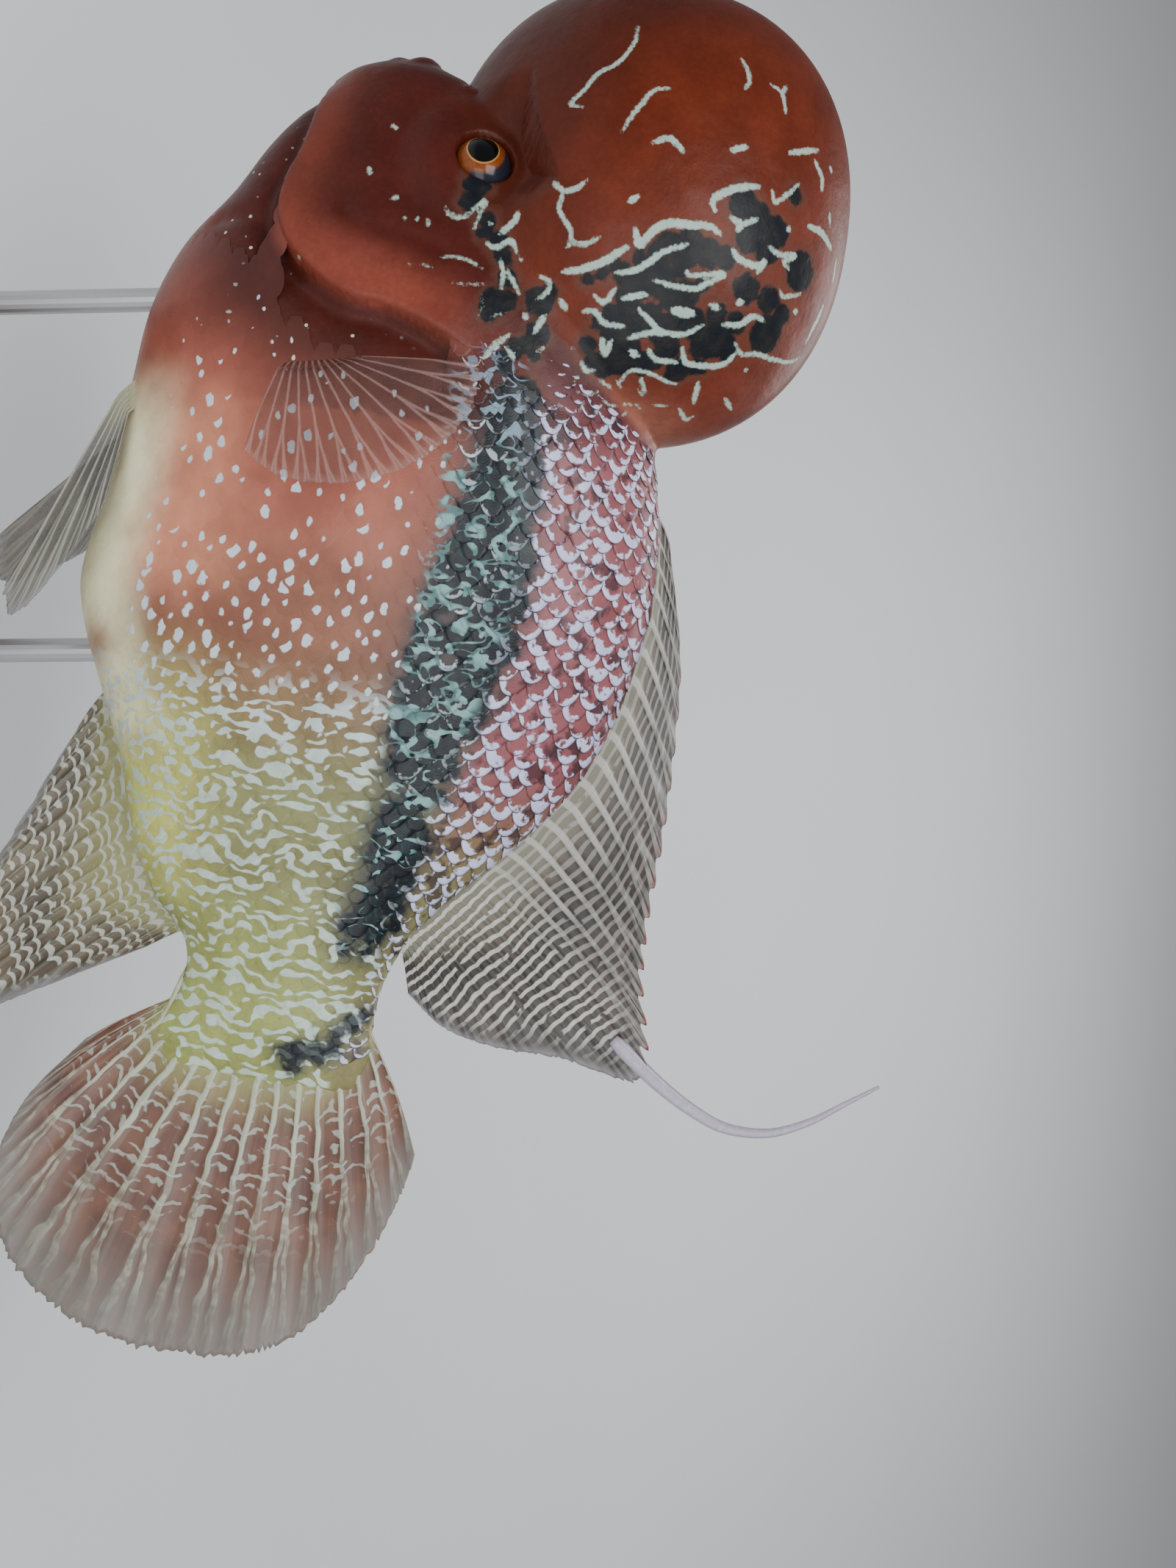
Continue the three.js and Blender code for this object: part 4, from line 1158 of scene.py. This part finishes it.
def scale_roots(flank_table, photo, rng):
    """Where each scale of a side grows: x and w."""
    edge = line_on_skin(photo, GILL_EDGE)
    order = np.argsort(edge[:, 2])
    columns = [-98.0]
    while columns[-1] < 80:
        columns.append(columns[-1] + COLUMN * float(scale_size(columns[-1])))
    roots = []
    for k, x in enumerate(columns):
        row = ROW * float(scale_size(x))
        low = np.interp(x, flank_table.xs, flank_table.low)
        high = np.interp(x, flank_table.xs, flank_table.high)
        for j in range(-24, 20):
            w = (j + 0.5 * (k % 2)) * row
            if low + 0.25 * row < w < high - 0.25 * row:
                roots.append((x + rng.uniform(-0.24, 0.24), w + rng.uniform(-0.26, 0.26)))
    roots = np.array(roots)
    points = flank_table.point(roots[:, 0], roots[:, 1])
    front = np.interp(points[:, 2], edge[order, 2], edge[order, 0]) + 11.5
    front = np.where(points[:, 2] < edge[:, 2].min(), -84.5 + 0.35 * (points[:, 2] + 38), front)
    front = mix(front, -85 - 0.2 * (points[:, 2] - 14), smooth(points[:, 2], 6, 15))
    last = 81 - 0.013 * (points[:, 2] + 12) ** 2 + rng.uniform(-1.6, 1.2, len(points))
    keep = (points[:, 0] > front) & (hump_level(points) > -1.5) & (points[:, 0] < last)
    return roots[keep]


def plate_normals(top, outward, strength):
    """Normals of the plates' upper faces. Their borders turn down by as much as the scales stand up."""
    along = unit(np.gradient(top, axis=1))
    across = unit(np.gradient(top, axis=2))
    normal = np.cross(along, across)
    normal *= np.sign(np.sum(normal * outward, 3, keepdims=True))
    turned = np.zeros_like(normal)
    turned[:, -1] += along[:, -1]
    turned[:, :, -1] += across[:, :, -1]
    turned[:, :, 0] -= across[:, :, 0]
    normal += turned * (0.06 + 0.7 * smooth(strength, 0.04, 0.9))[:, None, None, None]
    return unit(normal).reshape(len(top), -1, 3)


def scales(side_word, side, roots, flank_table, photo, rng):
    """One side's coat: a thin solid plate for each root, in one mesh, with what its marks are painted from."""
    count = len(roots)
    root_x = roots[:, 0]
    size = scale_size(root_x)[:, None] * rng.uniform(0.95, 1.05, count)[:, None]
    turn = rng.normal(0, 0.05, count)[:, None]
    forth, aside = [grid.ravel() for grid in np.meshgrid(SCALE_ALONG, SCALE_ACROSS, indexing="ij")]
    outline = np.repeat(SCALE_WIDE, len(SCALE_ACROSS)) * aside
    along = (forth - 0.35) * SCALE_LENGTH
    across = outline * SCALE_WIDTH / 2
    x = roots[:, :1] + size * (along * np.cos(turn) - across * np.sin(turn))
    w = roots[:, 1:] + size * (along * np.sin(turn) + across * np.cos(turn))
    r = regions(flank_table.point(root_x, roots[:, 1]))
    strength = mix(0.03, 0.40, smooth(root_x, -34, 38)) * mix(1.0, 0.6, r.belly)
    strength = np.maximum(strength, 0.95 * np.maximum(r.back, 0.7 * r.band))
    lift = (-0.34 + 0.70 * forth + 0.05 * (1 - aside ** 2)) * strength[:, None]
    lift += np.where(forth > 0.9, rng.uniform(-0.04, 0.05, count)[:, None], 0) * strength[:, None]
    thick = SCALE_THICK * np.sqrt(strength)[:, None]
    surface = flank_table.point(x, w)
    normal = flank_table.normal(x, w)
    top = surface + normal * lift[..., None]
    bottom = surface + normal * (lift - thick)[..., None]
    grid = (count, len(SCALE_ALONG), len(SCALE_ACROSS), 3)
    facing = plate_normals(top.reshape(grid), normal.reshape(grid), strength)

    def both_faces(upper, lower):
        return np.concatenate([upper, lower], 1).reshape(-1, 3)

    points = both_faces(top, bottom)
    shown = posed(points * [1, -side, 1])
    ahead = posed((points + 0.01 * both_faces(facing, -facing)) * [1, -side, 1])
    per_scale = 2 * len(forth)
    plate = sheet_faces(len(SCALE_ALONG), len(SCALE_ACROSS))
    faces = (plate[None] + (np.arange(count) * per_scale)[:, None, None]).reshape(-1, 4)
    faces = faces if side == LEFT else faces[:, ::-1]
    piece = mesh_object(f"scales_{side_word}", shown, faces)
    piece.data.normals_split_custom_set_from_vertices(unit(ahead - shown).tolist())

    def spread(values):
        return np.repeat(np.asarray(values), per_scale, 0)

    flat = np.stack([(forth - 0.5) * 2, outline, np.zeros(len(forth))], 1)
    flat = np.tile(flat, (2 * count, 1))
    flat[:, 2] = spread(rng.random(count))
    store(piece, "plate", flat)
    luck = rng.random(count)
    plain_front = (1 - r.back) * (1 - r.band) * (1 - 0.9 * r.rear)
    often = mix(0.34, 0.92, smooth(root_x, -62, -12))
    dot = plain_front * np.where(luck < often, rng.uniform(0.45, 1.25, count), 0)
    dot *= smooth(root_x, -88, -58) * (1 - 0.95 * smooth(r.belly, 0.15, 0.6))
    crescent = r.back * mix(0.45, 1, smooth(root_x, -78, -56)) * rng.uniform(0.24, 0.54, count)
    crescent += 0.25 * r.band * rng.uniform(0, 1, count) * (1 - smooth(root_x, 10, 18))
    crescent *= 1 - 0.9 * r.belly * (1 - r.rear)
    store(piece, "pearl", spread(np.stack([dot, crescent, luck], 1)))
    painted = both_faces(surface, surface)
    dress(piece, painted, photo, np.zeros(len(painted)))
    add_bake_map(piece, roots, faces, flat)
    return piece


BAKE_SPAN = (196, 182)
BAKE_PATCH = 0.003


def add_bake_map(piece, roots, faces, flat):
    """Lays each scale as a small patch at its root's place on the flank rolled out flat."""
    base = (roots - [COAT_START, COAT_LOW]) / BAKE_SPAN * 0.96 + 0.02
    uv = np.repeat(base, len(flat) // len(roots), 0) + flat[:, :2] * BAKE_PATCH / 2
    layer = piece.data.uv_layers.new(name="OFBake")
    layer.data.foreach_set("uv", uv[faces.ravel()].astype(np.float32).ravel())


def crescent_mark(n, place, plate, reach, crescent, luck):
    """A pale arc inside a scale's free edge, turned a little to one side by luck."""
    px, py, _ = plate
    middle = py - (luck - 0.5) * 1.43
    inner = 0.97 - crescent * (1.0 - middle * middle * 0.75)
    arc = n.step(reach + n.sway(place, 0.6, 3, 1.1) - inner, -0.02, 0.10) * n.step(reach, 1.0, 0.92)
    broken = n.step(n.noise(place, 0.30, 2), 0.37, 0.46)
    return arc * n.step(px, -0.1, 0.15) * n.step(crescent, 0.06, 0.16) * broken


def pearl_mark(n, place, plate, dot, luck):
    """A round pale dot of uneven outline near a scale's middle."""
    px, py, chance = plate
    side = (px - (chance * 0.38 + 0.28)) * 3.9
    above = (py - (luck - 0.4) * 0.7) * 3.6
    away = n.length(side, above) + n.sway(place, 0.55, 1, 1.9)
    return n.step(away - dot, 0.16, -0.12) * n.step(dot, 0.15, 0.3)


def scale_ground(n, place, plate, reach, zone):
    """The ground of each scale, with painted shade along its free edge, and darker blotches on the back."""
    on_back, on_band, _ = zone
    x, _, _ = n.split(place)
    color = n.product(mottled_ground(n, place), n.tint(plate[2], (0.96, 0.955, 0.955), (1.04, 1.04, 1.04)))
    # Painted shade along each scale's free edge, strongest on the back.
    weight = n.step(x, -40, 0) * n.step(x, 30, 4) * 0.10
    weight = n.math("ADD", weight, on_back * 0.85 + on_band * 0.1, clamp=True)
    color = n.product(color, n.tint(n.step(reach, 0.82, 1.02) * weight, (1, 1, 1), (0.42, 0.34, 0.36)))
    blotch = n.step(n.noise(place, 0.22, 3), 0.50, 0.62) * on_back
    return n.tint(blotch * 0.75, color, (0.030, 0.018, 0.026))


def scale_material():
    n = Nodes("fish_scales")
    place = n.vector("fish")
    plate = n.split(n.vector("plate"))
    dot, crescent, luck = n.split(n.vector("pearl"))
    zone = n.split(n.vector("zone"))
    on_back, on_band, on_rear = zone
    reach = n.length(plate[0], plate[1])
    color = scale_ground(n, place, plate, reach, zone)
    ink_level = n.number("ink") + n.sway(place, 0.42, 3, 4.2)
    ink = n.step(ink_level, -0.8, 0.6)
    color = n.tint(n.step(ink_level, -4.0, 0.2) * 0.6, color, (0.035, 0.035, 0.040))
    black = n.tint(n.step(n.noise(place, 0.5, 3), 0.4, 0.75), COLORS.ink, (0.012, 0.026, 0.030))
    color = n.tint(ink, color, black)
    arc = crescent_mark(n, place, plate, reach, crescent, luck)
    mark = n.most(arc, pearl_mark(n, place, plate, dot, luck), worm_lines(n, place, zone))
    mark = mark * (1.0 - ink * (1.0 - on_band * 0.6) * 0.9)
    light = n.tint(on_back, n.tint(on_rear, COLORS.pearl, COLORS.worm), COLORS.lavender)
    light = n.product(light, n.tint(n.noise(place, 0.25, 2), (0.66, 0.68, 0.70), (1.16, 1.15, 1.14)))
    color = n.tint(mark * 0.92, color, light)
    squiggles, tone = band_marks(n, place, on_band)
    color = n.tint(squiggles * 0.92, color, tone)
    stroke = n.step(n.number("stroke") + n.sway(place, 0.6, 3, 0.66), -0.22, 0.28)
    color = n.tint(stroke * 0.9, color, COLORS.stroke)
    fine = n.sine(reach * 46.0) * 0.10 + n.noise(place, 2.2, 3) * 0.6
    n.finish(Base_Color=color, Roughness=n.tint(mark, (0.42, 0.42, 0.42), (0.32, 0.32, 0.32)),
             Normal=n.bump(fine + mark * 0.8, 0.00014, 0.6), Coat_Weight=0.14, Coat_Roughness=0.12,
             Specular_IOR_Level=0.25)
    return n.material


# Fins

def closed_sheet(middle, half):
    """Points and faces of a sheet: columns by rows of middles, each with half its thickness as a vector."""
    points = np.concatenate([(middle + half).reshape(-1, 3), (middle - half).reshape(-1, 3)])
    return points, sheet_faces(*middle.shape[:2])


def ray_grid(rays, per_ray, rows, notch, fork=None, spines=0):
    """Places across and along a fin, with how near each is to a ray. Rays fork past the share fork.

    The first rays are spines, with the membrane cut back between them. The others end in a fine fringe."""
    u = np.linspace(0, rays - 1, (rays - 1) * per_ray + 1)
    away = np.abs(u - np.round(u))
    share = np.linspace(0, 1, rows) ** 0.92
    fringe = 0.006 * np.random.default_rng(rays).normal(size=len(u))
    soft = smooth(u, spines - 1.5, spines + 0.5) if spines else 1
    limit = 1 - mix(notch * smooth(away, 0.05, 0.5), 0.012 + fringe, soft)
    t = limit[:, None] * share[None, :]
    spread = np.zeros_like(t)
    if fork is not None:
        spread = 0.24 * smooth(t, fork, 1.0)
    ray = np.exp(-(((away[:, None] - spread) / (0.13 + 0.02 * t)) ** 2))
    return u, t, ray


def finish_fin(name, middle, half, u, t, material, slot, *nodes):
    points, faces = closed_sheet(middle, half)
    fin = mesh_object(name, posed(points), faces)
    face_outward(fin)
    rays_across = np.broadcast_to(u[:, None], t.shape)
    length = np.linalg.norm(middle - middle[:, :1], axis=2)
    for field, values in (("fin", np.stack([rays_across, t, length], -1)), ("fish", middle)):
        store(fin, field, np.tile(values.reshape(-1, 3), (2, 1)))
    fin.data.materials.append(material)
    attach(fin, "root")
    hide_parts(*nodes)


def thickness_at(t, ray, thick, rooted, thinned):
    """A fin is thickest at its root, and past it thicker on the rays than between them."""
    past_root = mix(thick.membrane, thick.ray, ray)
    return mix(thick.root, past_root, np.clip(t * rooted, 0, 1)) * (1 - thinned * t * t)


def median_fin(keys, rays, root, sway, thick, per_ray=9, notch=0.05, fork=None, sink=2.2, spines=0):
    u, t, ray = ray_grid(rays, per_ray, 44, notch, fork, spines)
    part = u / u[-1]
    keys = np.array(keys, float)
    places = np.linspace(0, 1, len(keys))
    base, tip_x, tip_z = [through(np.stack([places, keys[:, i]], 1))(part)[:, None] for i in range(3)]
    from_x, from_z = root(base)
    sunk = np.clip(1 - t * 14, 0, 1) * sink
    toward = np.sign(tip_z - from_z)
    x = mix(from_x, tip_x, t)
    z = mix(from_z, tip_z, t) + 0.06 * np.sin(np.pi * t) * (tip_z - from_z)
    if root is tail_root:
        x = x - sunk
    else:
        z = z - sunk * toward
    y = sway(x, t, u[:, None]) + 0.22 * t * np.sin(u[:, None] * np.pi)
    middle = np.stack([x, y, z], -1)
    half = np.zeros_like(middle)
    half[..., 1] = thickness_at(t, ray, thick, 6, 0.55) / 2
    return middle, half, u, t


DORSAL_KEYS = [
    [-49, -43, 57.5], [-36, -19, 63.6], [-20, 1, 65.4], [-4, 20, 65.9], [10, 37, 65.6], [22, 51, 66.6],
    [31, 65, 69.8], [37.5, 71.5, 67.5], [42.5, 69, 52], [46.5, 69, 38], [49.5, 66.5, 26], [51.5, 60.5, 17.4],
]
FILAMENT = [[63, 62], [67.5, 68], [71.5, 74], [75, 80.5], [77.6, 88], [77.2, 97], [73.6, 105], [68.5, 112],
            [63.8, 118.4]]
ANAL_KEYS = [
    [6.5, 13, -62.8], [12, 29, -69], [19, 46.5, -76], [27, 64, -84], [35, 80, -91.5], [41, 90.5, -95.5],
    [46, 83.5, -81.5], [50, 74, -65], [53, 65, -49.5], [55, 59.5, -40],
]
CAUDAL_KEYS = [
    [10.2, 94, 24.6], [7.5, 108, 21.4], [4, 123, 14.8], [-1, 135, 5.6], [-6.5, 140.6, -5],
    [-12.5, 142.4, -17], [-18.5, 142, -30.5], [-24, 137.6, -46], [-28.5, 128, -58.6], [-31.5, 114, -64.2],
    [-33.4, 97, -61.2], [-34.7, 81, -49.8],
]


def dorsal_root(x):
    return x, back(x)


def anal_root(x):
    return x, belly(x)


def tail_root(z):
    """Where the tail fin grows: the stalk's end, which curves forward towards its back and belly."""
    x = 77 - 9 * smooth(np.abs(z + 12.5), 12, 23)
    return x, np.clip(z, belly(x) + 1.5, back(x) - 1.5)


def dorsal_sway(x, t, u):
    return 3.2 * t * np.sin((x + 40) / 19) * np.clip((x + 30) / 60, 0, 1)


def anal_sway(x, t, u):
    return -2.6 * t * t * np.sin((x - 10) / 24)


def tail_sway(x, t, u):
    return -2.4 * t * t + 0.5 * t * np.sin(u * 1.8)


RED_TIP = (0.16, 0.030, 0.022)


def fin_material(name, look):
    """A membrane between pale rays, crossed by wavy lines that fade towards the edge."""
    n = Nodes(name)
    place = n.vector("fish")
    across, t, length = n.split(n.vector("fin"))
    color = n.tint(n.step(n.noise(place, 0.10, 4), 0.3, 0.7), look.dark, look.ground)
    color = n.tint(n.step(t, look.base_to, 0.0) * 0.9, color, look.base)
    away = n.math("PINGPONG", across + n.sway(place, 0.16, 1, look.sway), 0.5)
    off = abs(away - n.step(t, look.fork, 1.0) * 0.25)
    off = abs(off - n.step(t, look.fork + 0.25, 1.1) * 0.12)
    spacing = t * (look.broad - look.narrow) + look.narrow
    drawn = n.step(off * spacing, look.ray_wide + 0.22, look.ray_wide - 0.05)
    branch = n.math("ROUND", across * 4) * 7.3
    along_ray = n.add("ShaderNodeCombineXYZ", 0, X=length * look.dash, Y=branch)
    dash = n.step(n.noise(along_ray, 1.0, 1), 0.36, 0.66)
    whole = n.step(t, look.whole_to + 0.25, look.whole_to)
    on_ray = drawn * n.most(whole, dash * 0.5 + 0.22)
    spiny = n.step(across, look.red_to, look.red_to - 3)
    waves = length / look.wave + n.noise(place, look.warp, 2) * 2.0 + n.sine(away * (TURN / 2)) * look.arch
    crest = n.step(n.sine(waves * TURN), look.thin, look.thin + 0.45)
    crest = crest * n.step(t, look.lines_to, look.lines_to - 0.3)
    crest = crest * n.step(n.noise(place, 0.33, 1), look.broken, look.broken + 0.08) * (1.0 - spiny * 0.65)
    marked = crest * look.line_weight
    color = n.tint(marked, color, look.line)
    color = n.tint(on_ray * (spiny * (0.85 - look.ray_weight) + look.ray_weight), color, look.ray)
    lappet = n.step(t, 0.95, 0.985) * n.step(across, look.red_to, look.red_to - 2)
    color = n.tint(lappet * 0.85, color, RED_TIP)
    margin = n.step(t, look.margin, 1.0) * n.step(across, look.red_to - 1, look.red_to)
    color = n.tint(margin * 0.85, color, look.edge)
    lines = n.most(drawn * look.ray_solid, marked)
    alpha = n.most(look.solid - margin * look.fade, lines * 0.96, n.step(t, 0.16, 0.02) * look.root_solid)
    height = n.noise(n.scaled(n.vector("fin"), (9.0, 1.0, 0.0)), 1.0, 3) * 0.6 + crest
    n.finish(Base_Color=color, Alpha=alpha, Roughness=0.38, Normal=n.bump(height, 0.0002, 0.6),
             Subsurface_Weight=0.15, Subsurface_Scale=0.002, Coat_Weight=0.25, Coat_Roughness=0.2)
    return n.material


def look(**changes):
    """A fin's colours, and its lines' spacing, weight and shape. What isn't named is as given here."""
    base = dict(
        dark=(0.030, 0.030, 0.026), ground=(0.085, 0.080, 0.058), base=(0.16, 0.15, 0.06), base_to=0.35,
        wave=2.3, warp=0.10, arch=0.25, thin=0.1, lines_to=0.97, line=(0.44, 0.44, 0.37), line_weight=0.85,
        broken=0.34, ray=(0.36, 0.34, 0.27), ray_weight=0.5, ray_solid=0.7, ray_wide=0.3, narrow=3.0,
        broad=6.0, fork=0.5, sway=0.15, dash=0.30, whole_to=1.0, margin=0.9, edge=(0.20, 0.21, 0.22),
        solid=0.85, fade=0.15, root_solid=1.0, red_to=-1,
    )
    return SimpleNamespace(**{**base, **changes})


DORSAL_LOOK = look(
    dark=(0.010, 0.010, 0.010), ground=(0.034, 0.032, 0.026), base=(0.17, 0.155, 0.10),
    line=(0.56, 0.56, 0.50), wave=2.3, arch=0.10, warp=0.06, broken=0.28, ray=(0.42, 0.41, 0.37),
    ray_weight=0.10, ray_wide=0.45, narrow=3.6, broad=4.6, solid=0.97, fade=0.05, red_to=17, whole_to=0.3,
    dash=0.22,
)
ANAL_LOOK = look(
    dark=(0.060, 0.055, 0.036), ground=(0.13, 0.115, 0.066), base=(0.33, 0.33, 0.12),
    line=(0.48, 0.51, 0.44), arch=0.35, wave=2.7, warp=0.14, broken=0.38, ray_weight=0.3, ray_wide=0.32,
    narrow=2.7, broad=7.5, margin=0.72, fade=0.30, edge=(0.18, 0.19, 0.20), solid=0.93, whole_to=0.2,
)
TAIL_LOOK = look(
    dark=(0.085, 0.036, 0.022), ground=(0.165, 0.078, 0.047), base=(0.36, 0.38, 0.13), base_to=0.30,
    line=(0.40, 0.44, 0.38), line_weight=0.75, lines_to=0.74, wave=3.0, warp=0.22, arch=0.50, thin=0.25,
    broken=0.45, ray=(0.46, 0.50, 0.38), ray_weight=0.9, ray_wide=0.40, narrow=2.8, broad=10, fork=0.42,
    sway=0.35, dash=0.45, whole_to=0.34, margin=0.60, edge=(0.16, 0.15, 0.13), solid=0.96, fade=0.24,
    ray_solid=0.9,
)
CLEAR_LOOK = look(
    dark=(0.10, 0.042, 0.033), ground=(0.17, 0.080, 0.066), base=(0.12, 0.026, 0.018), base_to=0.35,
    line_weight=0.0, ray=(0.46, 0.29, 0.26), ray_weight=0.85, ray_solid=0.34, ray_wide=0.16, narrow=1.2,
    broad=4.4, solid=0.24, fade=0.08, edge=(0.36, 0.26, 0.24), root_solid=0.6, dash=0.1,
)
PELVIC_LOOK = look(
    dark=(0.10, 0.10, 0.085), ground=(0.17, 0.17, 0.14), base=(0.50, 0.47, 0.24), base_to=0.3,
    line_weight=0.0, ray=(0.38, 0.38, 0.33), ray_weight=0.8, ray_solid=0.8, ray_wide=0.18, narrow=1.4,
    broad=5.0, fork=0.25, solid=0.62, fade=0.2, edge=(0.22, 0.23, 0.23),
)


def add_median_fins():
    thick = SimpleNamespace(root=2.0, ray=1.15, membrane=0.34)
    grown = median_fin(DORSAL_KEYS, 29, dorsal_root, dorsal_sway, thick, notch=0.07, spines=17, fork=0.6)
    material = fin_material("fish_dorsal_fin", DORSAL_LOOK)
    finish_fin("dorsal_fin_membrane", *grown, material, "fin_membrane", "dorsal_fin")
    grown = median_fin(ANAL_KEYS, 19, anal_root, anal_sway, thick, spines=8, fork=0.6)
    material = fin_material("fish_anal_fin", ANAL_LOOK)
    finish_fin("anal_fin_membrane", *grown, material, "fin_membrane", "anal_fin")
    thick = SimpleNamespace(root=3.6, ray=1.2, membrane=0.38)
    grown = median_fin(CAUDAL_KEYS, 17, tail_root, tail_sway, thick, fork=0.35, per_ray=14, sink=6)
    material = fin_material("fish_tail_fin", TAIL_LOOK)
    finish_fin("caudal_fin_membrane", *grown, material, "tail_fin_membrane", "caudal_fin")


def add_filament():
    path = curve_through([(x, 0, z) for x, z in FILAMENT], 1.2)
    path[:, 1] = dorsal_sway(path[:, 0], 0.95, 0)
    share = np.linspace(0, 1, len(path))
    wide = mix(1.75, 0.35, share ** 1.2) * smooth(share, -0.1, 0.06)
    points, faces = closed_loft(tube_rings(path, wide, mix(0.6, 0.28, share), (0, 1, 0), 14))
    filament = mesh_object("dorsal_filament", posed(points), faces)
    face_outward(filament)
    n = Nodes("fish_filament")
    streak = n.noise(n.scaled(n.place(), (900, 900, 900)), 1.0, 3)
    n.finish(Base_Color=n.tint(streak, (0.27, 0.24, 0.31), (0.47, 0.43, 0.53)), Roughness=0.3,
             Subsurface_Weight=0.2, Subsurface_Scale=0.001, Coat_Weight=0.3)
    filament.data.materials.append(n.material)
    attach(filament, "root")


def paired_fin(side, base, angles, lengths, lean, rays, thick, curl, per_ray=9, notch=0.06, fork=0.5):
    """A fin on the flank, by its base's ends, its first and last ray's angles and its rays' lengths."""
    u, t, ray = ray_grid(rays, per_ray, 40, notch, fork)
    share = u / u[-1]
    length = through(np.stack([np.linspace(0, 1, len(lengths)), lengths], 1))(share)
    (start_x, start_z), (end_x, end_z) = base
    placed = [on_flank(mix(start_x, end_x, s), mix(start_z, end_z, s), side) for s in share]
    point, normal = np.array(placed).transpose(1, 0, 2)
    angle = np.radians(mix(angles[0], angles[1], share))
    out, flat = np.sin(np.radians(lean)), np.cos(np.radians(lean))
    along = np.stack([np.cos(angle) * flat, np.full_like(angle, side * out), np.sin(angle) * flat], 1)
    reach = length[:, None] * t
    middle = (point + normal * (0.36 + thick.root / 2))[:, None] + along[:, None] * reach[..., None]
    middle -= normal[:, None] * (np.clip(1 - t * 10, 0, 1) * 2.0)[..., None]
    middle[..., 1] += side * curl * t * t + 0.3 * t * np.sin(u * np.pi)[:, None]
    facing = unit(np.array([0, side, 0]) - along * (side * along[:, 1:2]))
    half = facing[:, None] * (thickness_at(t, ray, thick, 5, 0.5) / 2)[..., None]
    return middle, half, u, t


PECTORAL = SimpleNamespace(
    base=((-63, -24), (-65.5, -10)), angles=(-10, 90), lengths=(21, 26, 29, 32, 34, 34, 30), lean=24,
    rays=13, curl=-3, thick=SimpleNamespace(root=1.3, ray=0.75, membrane=0.22),
)
PELVIC = SimpleNamespace(
    base=((-60, -59.5), (-53.5, -57.5)), rays=6, curl=1, notch=0.22, fork=0.4, per_ray=12,
    thick=SimpleNamespace(root=1.4, ray=1.1, membrane=0.35),
)
# The left pelvic fin trails further back than the right one.
PELVIC_POSES = {
    LEFT: SimpleNamespace(angles=(-18, -1), lengths=(53, 56, 43, 31, 21), lean=11),
    RIGHT: SimpleNamespace(angles=(-48, -22), lengths=(54, 60, 47, 34, 22), lean=15),
}


def add_paired_fins():
    clear = fin_material("fish_pectoral_fin", CLEAR_LOOK)
    veil = fin_material("fish_pelvic_fin", PELVIC_LOOK)
    for word, side in SIDES.items():
        grown = paired_fin(side, **vars(PECTORAL))
        node = f"pectoral_fin_{word}"
        finish_fin(f"{node}_membrane", *grown, clear, "clear_fin_membrane", node)
        grown = paired_fin(side, **vars(PELVIC), **vars(PELVIC_POSES[side]))
        node = f"pelvic_fin_{word}"
        finish_fin(f"{node}_membrane", *grown, veil, "clear_fin_membrane", node)


# Stand

def wood_material():
    n = Nodes("stand_wood")
    grain = n.noise(n.scaled(n.place(), (9, 130, 130)), 1.0, 5, 0.8)
    bands = n.noise(n.scaled(n.place(), (4, 55, 55)), 1.0, 3, 1.6)
    color = n.tint(n.step(bands, 0.35, 0.65), (0.052, 0.024, 0.012), (0.125, 0.060, 0.028))
    color = n.product(color, n.tint(n.step(grain, 0.4, 0.62), (0.55, 0.52, 0.5), (1.15, 1.15, 1.15)))
    n.finish(Base_Color=color, Roughness=n.tint(grain, (0.3, 0.3, 0.3), (0.5, 0.5, 0.5)),
             Normal=n.bump(grain, 0.0002, 0.5), Coat_Weight=0.3, Coat_Roughness=0.2)
    return n.material


def steel_material():
    n = Nodes("stand_steel")
    brush = n.noise(n.scaled(n.place(), (700, 700, 20)), 1.0, 4)
    n.finish(Base_Color=n.tint(brush, (0.42, 0.42, 0.43), (0.66, 0.66, 0.67)), Metallic=1.0,
             Roughness=n.tint(brush, (0.24, 0.24, 0.24), (0.42, 0.42, 0.42)),
             Normal=n.bump(brush, 0.0001, 0.3))
    return n.material


def dress_stand():
    steel = steel_material()
    looks = {"stand_base": wood_material(), "stand_rod_front": steel, "stand_rod_rear": steel}
    for name, material in looks.items():
        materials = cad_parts[name].data.materials
        materials.clear()
        materials.append(material)


# Run

add_camera()
add_studio()
skin = skin_mesh()
soften_joins(skin)
smooth_points = points_of(skin)
photo = PhotoMap(smooth_points, [list(face.vertices) for face in skin.data.polygons])
on_hump = 1 - smooth(hump_level(smooth_points) / mix(5.5, 2.0, toward_nape(smooth_points)), 0.15, 1)
head_relief(skin, photo)
skin_points = points_of(skin)
dress(skin, skin_points, photo, on_hump)
behind = signed_distance(mirrored(skin_points), line_on_skin(photo, GILL_EDGE, 8.0))
chest = smooth(-behind, 3, 7) * (1 - smooth(-behind, 24, 34)) * (1 - smooth(skin_points[:, 2], -6, 4))
store(skin, "speck", chest * (1 - on_hump))
move_points(skin, posed(skin_points))
skin.data.materials.append(skin_material())
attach(skin, "root")
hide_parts("head", "nuchal_hump", "trunk", "tail_stalk", "gill_cover_left", "gill_cover_right")
eye_look = eye_material()
for word, side in SIDES.items():
    add_eye(word, side, eye_look)
rolled = Flank()
scale_look = scale_material()
for word, side in SIDES.items():
    rng = np.random.default_rng(11 + side)
    roots = scale_roots(rolled, photo, rng)
    coat = scales(word, side, roots, rolled, photo, rng)
    coat.data.materials.append(scale_look)
    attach(coat, "root")
add_median_fins()
add_filament()
add_paired_fins()
dress_stand()
